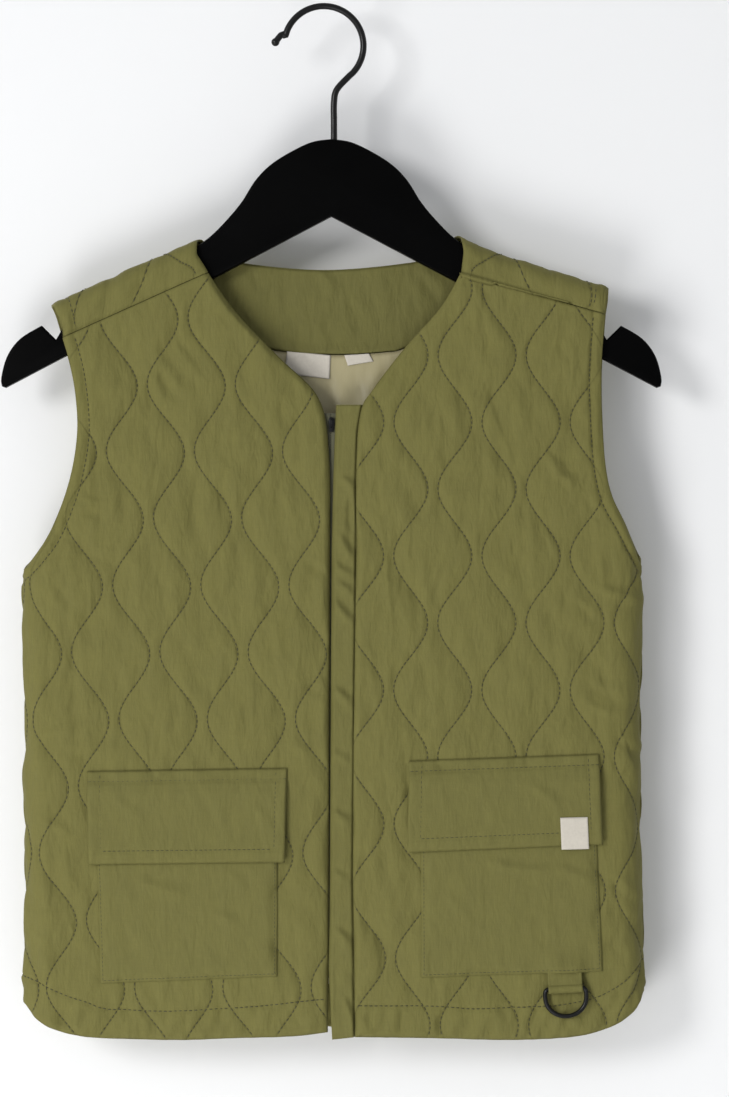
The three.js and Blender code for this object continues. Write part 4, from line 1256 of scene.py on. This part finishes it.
def wrap_grid(side, edge):
    """The cloth from the start of the roll to the forward shoulder seam, in places along the cloth."""
    wrap = WRAPS[side]
    rows = 24
    middle, _, _ = section_at(WRAP_HEIGHT)

    def beside(points):
        rises, xs = np.asarray(points, float).T
        rise = np.linspace(0, rises[-1], 60)
        x = np.interp(rise, rises, xs)
        start = smooth_value(RIDGE, "x", "z", x) - ROLL_RADIUS
        return evenly(np.stack([x - middle, start + rise], 1), rows)

    (x1, z1), (x2, z2) = wrap["seam"]
    xs = np.linspace(x1, x2, len(edge))
    start = smooth_value(RIDGE, "x", "z", xs) - ROLL_RADIUS
    seam_z = z1 + (z2 - z1) * (xs - x1) / (x2 - x1)
    seam = np.stack([xs - middle, start + math.pi * ROLL_RADIUS + start - seam_z], 1)
    neck, arm = beside(wrap["neck"]), beside(wrap["arm"])
    if side == "left":
        seam = seam[::-1]
        neck, arm = arm, neck
    neck[0], neck[-1], arm[0], arm[-1] = edge[0], seam[0], edge[-1], seam[-1]
    return coons(edge, seam, neck, arm)


def inner_sheet(node, kind, sides, columns, rows, seed, loose_foot=0.0):
    """A plain sheet inside the back, seen from the front. Its foot may stand off a little."""
    edges = [to_cloth(densely(line)) for line in sides]
    places = grid_between(edges, columns, rows)
    s, z = places[..., 0], places[..., 1]
    x, _, _ = round_section(s, z, 0)
    lift = creased(CREASES[kind], x, z, seed) + 0.12 * uneven(s, z, 6, 16, seed)
    if loose_foot:
        apart, _ = nearest(edges[0], s, z)
        lift += loose_foot * (1 - ramp(apart, 0, 7))
    points = back_point(s, z, INSIDE_STAND - lift)
    obj = cloth_sheet(f"{node}_cloth", kind, points, places, THICKNESS[kind], node)
    declare([places])


def make_inside():
    """Back neck facing, and the lining that starts under its foot."""
    neck_turn, clear_of_arm = 0.8, 7.0
    neck = np.array([(x, z - neck_turn) for x, z in BACK_NECK[1:-1]])
    facing_top = np.vstack([
        [(-88.0, -158.0), (-66.0, -144.0)], curved(neck), [(74.0, -143.0), (96.0, -156.0)]])
    inner_sheet("back_neck_facing", "facing", (
        curved(FACING_FOOT), facing_top,
        np.array([FACING_FOOT[0], facing_top[0]]), np.array([FACING_FOOT[-1], facing_top[-1]]),
    ), 120, 36, 41, 1.3)
    lining_top = np.vstack([
        [(-138.0, -200.0), (-96.0, -178.4)], curved(np.array(FACING_FOOT) - (0, 0.6)),
        [(104.0, -180.0), (153.0, -205.0)]])
    right_arm = [(x + clear_of_arm, z) for x, z in RIGHT_ARM[1:-1]][::-1]
    left_arm = [(x - clear_of_arm, z) for x, z in LEFT_ARM[1:-1]][::-1]
    left = np.vstack([[(-154.0, -566.0), (-153.0, -340.0)], curved(right_arm + [(-138.0, -200.0)])])
    right = np.vstack([[(168.0, -566.0), (166.0, -340.0)], curved(left_arm + [(153.0, -205.0)])])
    inner_sheet("back_lining", "lining", (
        np.array([left[0], right[0]]), lining_top, left, right,
    ), 110, 120, 43)


def make_strip():
    """Placket strip, a band that stands up between the fronts' edges."""
    foot, top = STRIP_EDGE[0], STRIP_EDGE[-1]
    reach_foot, reach_top = (STRIP_REACH, STRIP_FOOT), (STRIP_REACH, top[1])
    edges = [to_cloth(densely(np.array(line))) for line in (
        [foot, reach_foot], [top, reach_top], STRIP_EDGE, [reach_foot, reach_top])]
    places = grid_between(edges, 40, 260)
    s, z = places[..., 0], places[..., 1]
    x, _, _ = round_section(s, z, 0)
    strip_x, strip_z = np.array(STRIP_EDGE[1:]).T
    front_x, front_z = np.array(LEFT_NECK[::-1]).T
    from_edge = x - np.interp(z, strip_z, strip_x)
    to_front = np.interp(z, np.append([-594.0, -503.7], front_z), np.append([18.8, 17.6], front_x)) - x
    band = ramp(from_edge, -0.2, 2.2) * ramp(to_front, 0.2, 1.4)
    lift = (2.2 + 1.9 * creased(CREASES["strip"], x, z, 51) + 0.3 * uneven(s, z, 5, 14, 51)) * band
    strip = cloth_sheet("placket_strip_cloth", "plain", front_point(s, z, -0.35 + lift), places,
                        THICKNESS["strip"], "placket_strip")
    declare([places])


def tape_place(s, z, lift):
    """A point on the zip's tape, which lies inside the right front."""
    return front_point(s, z, TAPE["out"] + lift)


def make_zip():
    """Zip tape with its coil and its slider."""
    middle, _, _ = section_at(TAPE["top"])
    across = np.linspace(TAPE["left"], TAPE["right"], 15)[None, :] - middle
    down = np.linspace(TAPE["foot"], TAPE["top"], 141)[:, None]
    places = np.stack(np.broadcast_arrays(across, down), -1)
    s, z = places[..., 0], places[..., 1]
    points = tape_place(s, z, 0.1 * uneven(s, z, 6, 14, 53) - 0.1)
    tape = cloth_sheet("zip_tape_cloth", "tape", points, places, THICKNESS["tape"], "zip_tape")
    heights = np.arange(TAPE["foot"] + 2, TAPE["top"] - 0.8, COIL["pitch"])
    teeth = [np.array([(COIL["from"] - middle, height), (COIL["to"] - middle, height + COIL["slant"])])
             for height in heights]
    coil = sew("zip_coil", teeth, tape_place, "coil", 0.8, 0.1, COIL["to"] - COIL["from"], 1)
    declare([places])
    make_slider()


def slab(outline, y, thickness):
    """A flat body over an outline of x and z, from y on by its thickness."""
    bm = bmesh.new()
    verts = [bm.verts.new((x * MM, y * MM, z * MM)) for x, z in outline]
    made = bmesh.ops.extrude_face_region(bm, geom=[bm.faces.new(verts)])
    moved = [item for item in made["geom"] if isinstance(item, bmesh.types.BMVert)]
    bmesh.ops.translate(bm, verts=moved, vec=(0, thickness * MM, 0))
    bmesh.ops.recalc_face_normals(bm, faces=bm.faces)
    return bm


def round_off(bm, edges, radius, segments):
    """Rounds the edges over with a radius in millimetres."""
    bmesh.ops.bevel(bm, geom=edges, offset=radius * MM, segments=segments, affect="EDGES",
                    profile=0.5, material=-1, clamp_overlap=True)


def make_slider():
    """The slider: a bevelled body that narrows to its foot, with the bridge for its pull."""
    middle, _, _ = section_at(SLIDER["z"])
    back = tape_place(np.array(SLIDER["x"] - middle), np.array(SLIDER["z"]), 0.3)[1]
    bm = slab(SLIDER_SHAPE, back, -SLIDER["thickness"])
    round_off(bm, bm.edges[:], 0.3, 3)
    face = back - SLIDER["thickness"]
    bridge = [(0.0, face + out, z) for out, z in BRIDGE_SHAPE]
    wire = tube(evenly(curved(bridge), 14), BRIDGE_RADIUS, False, 12)
    made = bpy.data.meshes.new("bridge")
    wire.to_mesh(made)
    wire.free()
    bm.from_mesh(made)
    bpy.data.meshes.remove(made)
    bmesh.ops.translate(bm, verts=bm.verts, vec=(SLIDER["x"] * MM, 0, SLIDER["z"] * MM))
    slider = finish_mesh(bm, "zip_slider_metal", "metal", "zip_slider")
    sharpen(slider, 40)


def flap_out(side, z):
    """How far out the inner face of a flap lies, from its seam down to its foot."""
    top = POCKETS[side]["flap"][0][1]
    down = np.clip((top - z - 3) / 9, 0, 1)
    foot = np.clip((top - z - 12) / 42, 0, 1)
    return 3.9 + 1.5 * down + 1.2 * foot**2


def patch_edges(corners):
    """Foot, top, left and right edge of a pocket's patch, in places along the cloth."""
    middle, _, _ = section_at(POCKET_HEIGHT)
    top_left, top_right, low_right, low_left = [np.array(point, float) - (middle, 0) for point in corners]
    return [densely(np.array(pair)) for pair in (
        (low_left, low_right), (top_left, top_right), (low_left, top_left), (low_right, top_right))]


def make_bag(side, panel):
    """A pocket's bag, pressed to the front along its edges. The left one stands out over the tab."""
    pressed_stand, free_stand, least_stand = 1.15, 5.0, 4.6
    tab_face, tab_reach, foot_reach = 22.7, 11.0, 9
    seed = POCKETS[side]["seed"]
    middle, _, _ = section_at(POCKET_HEIGHT)
    edges = patch_edges(POCKETS[side]["bag"])
    foot, _, left, right = edges
    outline = around(*edges)

    def bag_out(s, z):
        apart, _ = nearest(outline, s, z)
        pressed = panel.out(s, z) + pressed_stand
        free = free_stand + creased(CREASES[f"bag_{side}"], s + middle, z, seed)
        free = np.maximum(free + 0.16 * uneven(s, z, 7, 12, seed), least_stand)
        total = pressed + (free - pressed) * ramp(apart, 1.2, 6.0)
        if side == "left":
            beside = np.abs(s + middle - RING_MIDDLE) / tab_reach
            from_foot, _ = nearest(foot, s, z)
            _, _, depth = section_at(z)
            short = np.clip(tab_face - depth - total, 0, None)
            total += short * np.exp(-(beside**4)) * bell(from_foot, foot_reach)
        return total - 0.35 * bell(apart, 0.6, BAG_SEWING) - 0.5 * bell(apart, 0.8)

    def bag_place(s, z, lift):
        return front_point(s, z, bag_out(s, z) + lift)

    name = f"pocket_bag_{side}"
    places = grid_between(edges, 74, 76)
    bag = cloth_sheet(f"{name}_cloth", "plain", bag_place(places[..., 0], places[..., 1], 0), places,
                      THICKNESS["bag"], name)
    row = offset_line(np.vstack([left[::-1], foot[1:], right[1:]]), BAG_SEWING)
    stitches = sew(f"{name}_stitches", [row], bag_place, "thread", 0.4, 0.14, 2.4)
    declare([places])


def make_flap(side, panel):
    """A pocket's flap, which hangs from its seam. Returns how far out its face lies."""
    pressed_stand, own_wall, seam_start, seam_end = 1.5, 1.6, 1.5, 9.0
    seed = POCKETS[side]["seed"] + 1
    middle, _, _ = section_at(POCKET_HEIGHT)
    edges = patch_edges(POCKETS[side]["flap"])
    foot, top, left, right = edges
    outline = around(*edges)

    def flap_face(s, z):
        apart, _ = nearest(outline, s, z)
        from_top, _ = nearest(top, s, z)
        pressed = panel.out(s, z) + pressed_stand
        free = flap_out(side, z) + own_wall + creased(CREASES[f"flap_{side}"], s + middle, z, seed)
        free = free + 0.16 * uneven(s, z, 8, 10, seed)
        total = pressed + (free - pressed) * ramp(from_top, seam_start, seam_end)
        total -= 0.45 * bell(from_top, 0.7, FLAP_SEWING["top"])
        from_foot, _ = nearest(foot, s, z)
        total -= 0.9 * np.clip(1 - from_foot / FLAP_SEWING["foot"], 0, 1) ** 1.6
        for edge, which in ((left, "left"), (right, "right"), (foot, "foot")):
            beside, _ = nearest(edge, s, z)
            total -= 0.35 * bell(beside, 0.7, FLAP_SEWING[which])
        return total - 0.6 * bell(apart, 0.8)

    def flap_place(s, z, lift):
        return front_point(s, z, flap_face(s, z) + lift)

    name = f"pocket_flap_{side}"
    places = grid_between(edges, 84, 42)
    flap = cloth_sheet(f"{name}_cloth", "plain", flap_place(places[..., 0], places[..., 1], 0), places,
                       THICKNESS["flap"], name)
    rows = [
        offset_line(top[::-1], FLAP_SEWING["top"]), offset_line(foot, FLAP_SEWING["foot"])[4:-4],
        offset_line(left[::-1], FLAP_SEWING["left"])[1:-4], offset_line(right, FLAP_SEWING["right"])[4:-1],
    ]
    stitches = sew(f"{name}_stitches", rows, flap_place, "thread", 0.45, 0.14, 2.7)
    declare([places])
    return flap_face


def label_sheet(node, point_at, out_at):
    """A small bare label between its corners, soft at its cut edges."""
    low_left, low_right, top_right, top_left = np.array(LABELS[node])
    middle, _, _ = section_at(low_left[1])
    edges = [low_left, low_right], [top_left, top_right], [low_left, top_left], [low_right, top_right]
    seen = grid_between(edges, 24, 18)
    places = seen - (middle, 0)
    outline = np.array([low_left, low_right, top_right, top_left, low_left])
    apart, _ = nearest(outline, seen[..., 0], seen[..., 1])
    s, z = places[..., 0], places[..., 1]
    lift = 0.2 * uneven(s, z, 6, 6, 83) - 0.2 * bell(apart, 0.5)
    obj = cloth_sheet(f"{node}_cloth", "label", point_at(s, z, out_at(s, z, lift)), places,
                      THICKNESS["label"], node)
    return obj, places


def make_labels(flap_face):
    """Two labels under the facing's lower edge, one over the left flap's lower edge."""
    for node in ("neck_label", "size_label"):
        label, places = label_sheet(node, back_point, lambda s, z, lift: -2.2 - lift)
        declare([places])
    foot = LABELS["flap_label"][0][1] + 3.4
    label, places = label_sheet("flap_label", front_point,
                                lambda s, z, lift: flap_face(s, np.maximum(z, foot)) + 0.75 + lift)
    declare([places])


def tube(points, radius, closed, steps):
    """A wire along the points, as a mesh."""
    line = bpy.data.curves.new("wire", "CURVE")
    line.dimensions = "3D"
    line.bevel_depth = radius * MM
    line.bevel_resolution = steps // 4
    line.use_fill_caps = not closed
    spline = line.splines.new("POLY")
    spline.points.add(len(points) - 1)
    for point, co in zip(spline.points, points):
        point.co = (*[value * MM for value in co], 1.0)
    spline.use_cyclic_u = closed
    holder = bpy.data.objects.new("wire", line)
    bpy.context.scene.collection.objects.link(holder)
    made = bpy.data.meshes.new_from_object(holder.evaluated_get(bpy.context.evaluated_depsgraph_get()))
    bm = bmesh.new()
    bm.from_mesh(made)
    bpy.data.objects.remove(holder)
    bpy.data.curves.remove(line)
    bpy.data.meshes.remove(made)
    bmesh.ops.remove_doubles(bm, verts=bm.verts, dist=0.002 * MM)
    bmesh.ops.recalc_face_normals(bm, faces=bm.faces)
    return bm


def hung_on_bar():
    """The place and tilt of the ring's bar."""
    return (Matrix.Translation(Vector((RING_MIDDLE, RING_Y, BAR_HEIGHT)) * MM)
            @ Matrix.Rotation(-RING_TILT, 4, "Y"))


def make_ring():
    """The ring: a straight bar with round corners, and a bow below it."""
    half = (RING_WIDTH - RING_WIRE) / 2
    bow = RING_DROP - RING_WIRE / 2
    shoulder = bow - half * 0.92
    ease = RING_CORNER * 0.3
    route = [(x, 0) for x in np.linspace(-half + RING_CORNER, half - RING_CORNER, 5)]
    route += [(half - ease, -ease), (half, -RING_CORNER)]
    for angle in np.linspace(0, math.pi, 15):
        route.append((half * math.cos(angle), -shoulder - (bow - shoulder) * math.sin(angle)))
    route += [(-half, -RING_CORNER), (-half + ease, -ease)]
    loop = np.array(route + route[:3])
    smooth = evenly(curved(loop)[16:-17], 120)[:-1]
    bm = tube([(x, 0.0, z) for x, z in smooth], RING_WIRE / 2, True, 16)
    bmesh.ops.transform(bm, matrix=hung_on_bar(), verts=bm.verts)
    finish_mesh(bm, "d_ring_metal", "metal", "d_ring", body="ring")


def make_tab():
    """A tape doubled round the ring's bar."""
    play, half_wall = 0.5, 0.5
    radius = RING_WIRE / 2 + play + half_wall
    turns = np.linspace(math.radians(62), math.radians(-242), 26)
    loop = [(radius * math.cos(a), radius * math.sin(a)) for a in turns]
    start = [(-0.6, TAB_UP + 4), (0.3, TAB_UP), (0.62, 4.6)]
    end = [(-0.62, 4.6), (-0.9, TAB_UP), (-1.7, TAB_UP + 4)]
    line = evenly(curved(np.array(start + loop + end), 8), 60)
    columns = 22
    along = np.linspace(-TAB_WIDTH / 2, TAB_WIDTH / 2, columns + 1)
    run = np.linspace(0, length_of(line), len(line))
    points = np.zeros((len(line), columns + 1, 3))
    points[..., 0] = along[None, :]
    points[..., 1] = -line[:, 0][:, None]
    points[..., 2] = line[:, 1][:, None]
    places = np.stack(np.broadcast_arrays(along[None, :], run[:, None]), -1)
    bm = bmesh.new()
    grid_into(bm, points[::-1], places)
    bmesh.ops.transform(bm, matrix=hung_on_bar(), verts=bm.verts)
    obj = finish_mesh(bm, "ring_tab_tape", "plain", "ring_tab")
    thicken(obj, THICKNESS["tab"], offset=0)
    declare([places])


def make_hanger():
    """The hanger's flat body with its rounded rims."""
    arm = [tuple(point) for point in evenly(curved(ARM_TOP), 34)] + NOTCH[:2]
    tip = [tuple(point) for point in evenly(curved(TIP), 16)]
    half = arm + tip + [ARM_UNDER]
    right = [(HANGER_MIDDLE + out, z) for out, z in half]
    left = [(HANGER_MIDDLE - out, z) for out, z in half[1:]][::-1]
    bm = slab(right + [(HANGER_MIDDLE, ARCH_TOP)] + left, -HANGER_HALF, 2 * HANGER_HALF)
    rims = [edge for edge in bm.edges if abs(edge.verts[0].co.y - edge.verts[1].co.y) < 1e-6]
    round_off(bm, rims, HANGER_ROUND, 4)
    obj = finish_mesh(bm, "hanger_body_plastic", "plastic", "hanger_body")
    sharpen(obj, 32)


def make_hook():
    """The hanger's hook of bent wire, with the ball at its end."""
    centre_x, centre_z = HOOK_MIDDLE
    arc = [(centre_x + HOOK_RADIUS * math.cos(a), centre_z + HOOK_RADIUS * math.sin(a))
           for a in np.radians(np.linspace(-52, 166, 24))]
    route = evenly(curved(np.array(HOOK_STEM + arc + HOOK_END)), 110)
    bm = tube([(x, 0.0, z) for x, z in route], WIRE / 2, False, 20)
    ball = bmesh.ops.create_uvsphere(bm, u_segments=20, v_segments=14, radius=BALL_RADIUS * MM)
    end_x, end_z = HOOK_END[-1]
    bmesh.ops.translate(bm, verts=ball["verts"], vec=(end_x * MM, 0, end_z * MM))
    finish_mesh(bm, "hanger_hook_wire", "metal", "hanger_hook")


def sharpen(obj, degrees):
    """Marks the edges that turn more than so many degrees as sharp."""
    bm = bmesh.new()
    bm.from_mesh(obj.data)
    for edge in bm.edges:
        edge.smooth = edge.calc_face_angle(0) < math.radians(degrees)
    bm.to_mesh(obj.data)
    bm.free()


def make_camera():
    """The camera, level with the middle of the photograph's frame."""
    data = bpy.data.cameras.new("camera")
    camera = bpy.data.objects.new("camera", data)
    bpy.context.scene.collection.objects.link(camera)
    middle_x, middle_z = VIEW_MIDDLE
    camera.location = Vector((middle_x, VIEW_PLANE - VIEW_DISTANCE, middle_z)) * MM
    camera.rotation_euler = (math.radians(90), 0, 0)
    data.lens = data.sensor_width / 2 / (VIEW_HEIGHT / 2 / VIEW_DISTANCE)
    bpy.context.scene.camera = camera


def paper(name):
    """Pale backdrop, seen and shadowed from the front only, so that it hides nothing from behind."""
    shader = Shader(name)
    nodes, links, tone = shader.tree.nodes, shader.tree.links, PAPER_TONE
    place = shader.object_place()
    shader.set(Base_Color=shader.blend(shader.noise(place, 3.0), colour(tone, 0.985), colour(tone)))
    shader.set(Roughness=0.95, Specular_IOR_Level=0.1)
    clear = nodes.new("ShaderNodeBsdfTransparent")
    behind = shader.node("ShaderNodeNewGeometry", {}, {}, "Backfacing")
    shadow = shader.node("ShaderNodeLightPath", {}, {}, "Is Shadow Ray")
    mix = nodes.new("ShaderNodeMixShader")
    shader.put(mix.inputs[0], behind.maths("MAXIMUM", behind, shadow))
    links.new(shader.surface.outputs[0], mix.inputs[1])
    links.new(clear.outputs[0], mix.inputs[2])
    links.new(mix.outputs[0], nodes["Material Output"].inputs["Surface"])
    return shader.material


def backdrop(name, turn, middle):
    """A square of paper, turned about the x axis and moved to its place."""
    bm = bmesh.new()
    bmesh.ops.create_grid(bm, x_segments=2, y_segments=2, size=STAGE_SIZE)
    bmesh.ops.rotate(bm, verts=bm.verts, matrix=Matrix.Rotation(turn, 3, "X"))
    bmesh.ops.translate(bm, verts=bm.verts, vec=middle)
    obj = bpy.data.objects.new(name, bpy.data.meshes.new(name))
    bm.to_mesh(obj.data)
    bm.free()
    obj.data.materials.append(paper(f"{name}_paper"))
    bpy.context.scene.collection.objects.link(obj)
    return obj


def make_stage():
    """The wall and the floor, three soft lamps, and the even light of the room."""
    settings = bpy.context.scene.vest_stage
    wall_middle = (STAGE_MIDDLE, settings.wall_gap, FLOOR + STAGE_SIZE)
    wall = backdrop("wall", math.radians(90), wall_middle)
    floor = backdrop("floor", 0, (STAGE_MIDDLE, 0, FLOOR))
    lamps = [
        ("key", (-2.10, -2.75, 0.42), 1.1, settings.key),
        ("fill", (-0.7, -1.5, -1.45), 0.9, settings.fill),
        ("rear", (-0.5, 2.2, 0.4), 1.4, REAR_POWER),
    ]
    for name, location, size, power in lamps:
        data = bpy.data.lights.new(name, "AREA")
        data.shape = "DISK"
        data.size = size
        data.energy = power
        lamp = bpy.data.objects.new(name, data)
        lamp.location = location
        aim = Vector(LAMP_AIM) - lamp.location
        lamp.rotation_euler = aim.to_track_quat("-Z", "Y").to_euler()
        bpy.context.scene.collection.objects.link(lamp)
    world = bpy.data.worlds.new("studio")
    world.use_nodes = True
    background = world.node_tree.nodes["Background"]
    background.inputs["Color"].default_value = (0.95, 0.97, 1.0, 1.0)
    background.inputs["Strength"].default_value = WORLD_LIGHT
    bpy.context.scene.world = world
    bpy.context.scene.view_settings.view_transform = "Standard"


# Operators

_made = {}


class VEST_OT_stage(bpy.types.Operator):
    """Camera, soft lights, pale wall and floor"""

    bl_idname = "vest.stage"
    bl_label = "Stage"

    def execute(self, context):
        make_camera()
        make_stage()
        return {"FINISHED"}


class VEST_OT_fronts(bpy.types.Operator):
    """Both quilted fronts with their stitching"""

    bl_idname = "vest.fronts"
    bl_label = "Fronts"

    def execute(self, context):
        for side in ("right", "left"):
            _made[side] = make_front(side)
        return {"FINISHED"}


class VEST_OT_back(bpy.types.Operator):
    """Quilted back that wraps over the shoulders"""

    bl_idname = "vest.back"
    bl_label = "Back"

    def execute(self, context):
        make_back()
        return {"FINISHED"}


class VEST_OT_inside(bpy.types.Operator):
    """Back neck facing and lining"""

    bl_idname = "vest.inside"
    bl_label = "Facing and lining"

    def execute(self, context):
        make_inside()
        return {"FINISHED"}


class VEST_OT_placket(bpy.types.Operator):
    """Placket strip, zip tape and slider"""

    bl_idname = "vest.placket"
    bl_label = "Placket"

    def execute(self, context):
        make_strip()
        make_zip()
        return {"FINISHED"}


class VEST_OT_pockets(bpy.types.Operator):
    """Pocket bags, flaps and labels"""

    bl_idname = "vest.pockets"
    bl_label = "Pockets and labels"

    def execute(self, context):
        for side in ("right", "left"):
            make_bag(side, _made[side])
            flap_face = make_flap(side, _made[side])
        make_labels(flap_face)
        return {"FINISHED"}


class VEST_OT_ring(bpy.types.Operator):
    """Ring and the tab that holds it"""

    bl_idname = "vest.ring"
    bl_label = "Ring and tab"

    def execute(self, context):
        make_tab()
        make_ring()
        return {"FINISHED"}


class VEST_OT_hanger(bpy.types.Operator):
    """Hanger with its hook"""

    bl_idname = "vest.hanger"
    bl_label = "Hanger"

    def execute(self, context):
        make_hanger()
        make_hook()
        return {"FINISHED"}


STEPS = ("stage", "fronts", "back", "inside", "placket", "pockets", "ring", "hanger")


class VEST_PT_panel(bpy.types.Panel):
    """Lists the vest's settings and the steps that make it"""

    bl_label = "Vest"
    bl_idname = "VEST_PT_panel"
    bl_space_type = "VIEW_3D"
    bl_region_type = "UI"
    bl_category = "Vest"

    def draw(self, context):
        for group in (context.scene.vest_quilting, context.scene.vest_finishes, context.scene.vest_stage):
            box = self.layout.box()
            for name in group.__annotations__:
                box.prop(group, name)
        for step in STEPS:
            self.layout.operator(f"vest.{step}")


CLASSES = (
    VestQuilting, VestFinishes, VestStage,
    VEST_OT_stage, VEST_OT_fronts, VEST_OT_back, VEST_OT_inside, VEST_OT_placket,
    VEST_OT_pockets, VEST_OT_ring, VEST_OT_hanger, VEST_PT_panel,
)


def register():
    for cls in CLASSES:
        bpy.utils.register_class(cls)
    bpy.types.Scene.vest_quilting = bpy.props.PointerProperty(type=VestQuilting)
    bpy.types.Scene.vest_finishes = bpy.props.PointerProperty(type=VestFinishes)
    bpy.types.Scene.vest_stage = bpy.props.PointerProperty(type=VestStage)


def unregister():
    del bpy.types.Scene.vest_stage
    del bpy.types.Scene.vest_finishes
    del bpy.types.Scene.vest_quilting
    for cls in reversed(CLASSES):
        bpy.utils.unregister_class(cls)


def main():
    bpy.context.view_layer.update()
    register()
    for step in STEPS:
        getattr(bpy.ops.vest, step)()


if __name__ == "__main__":
    main()
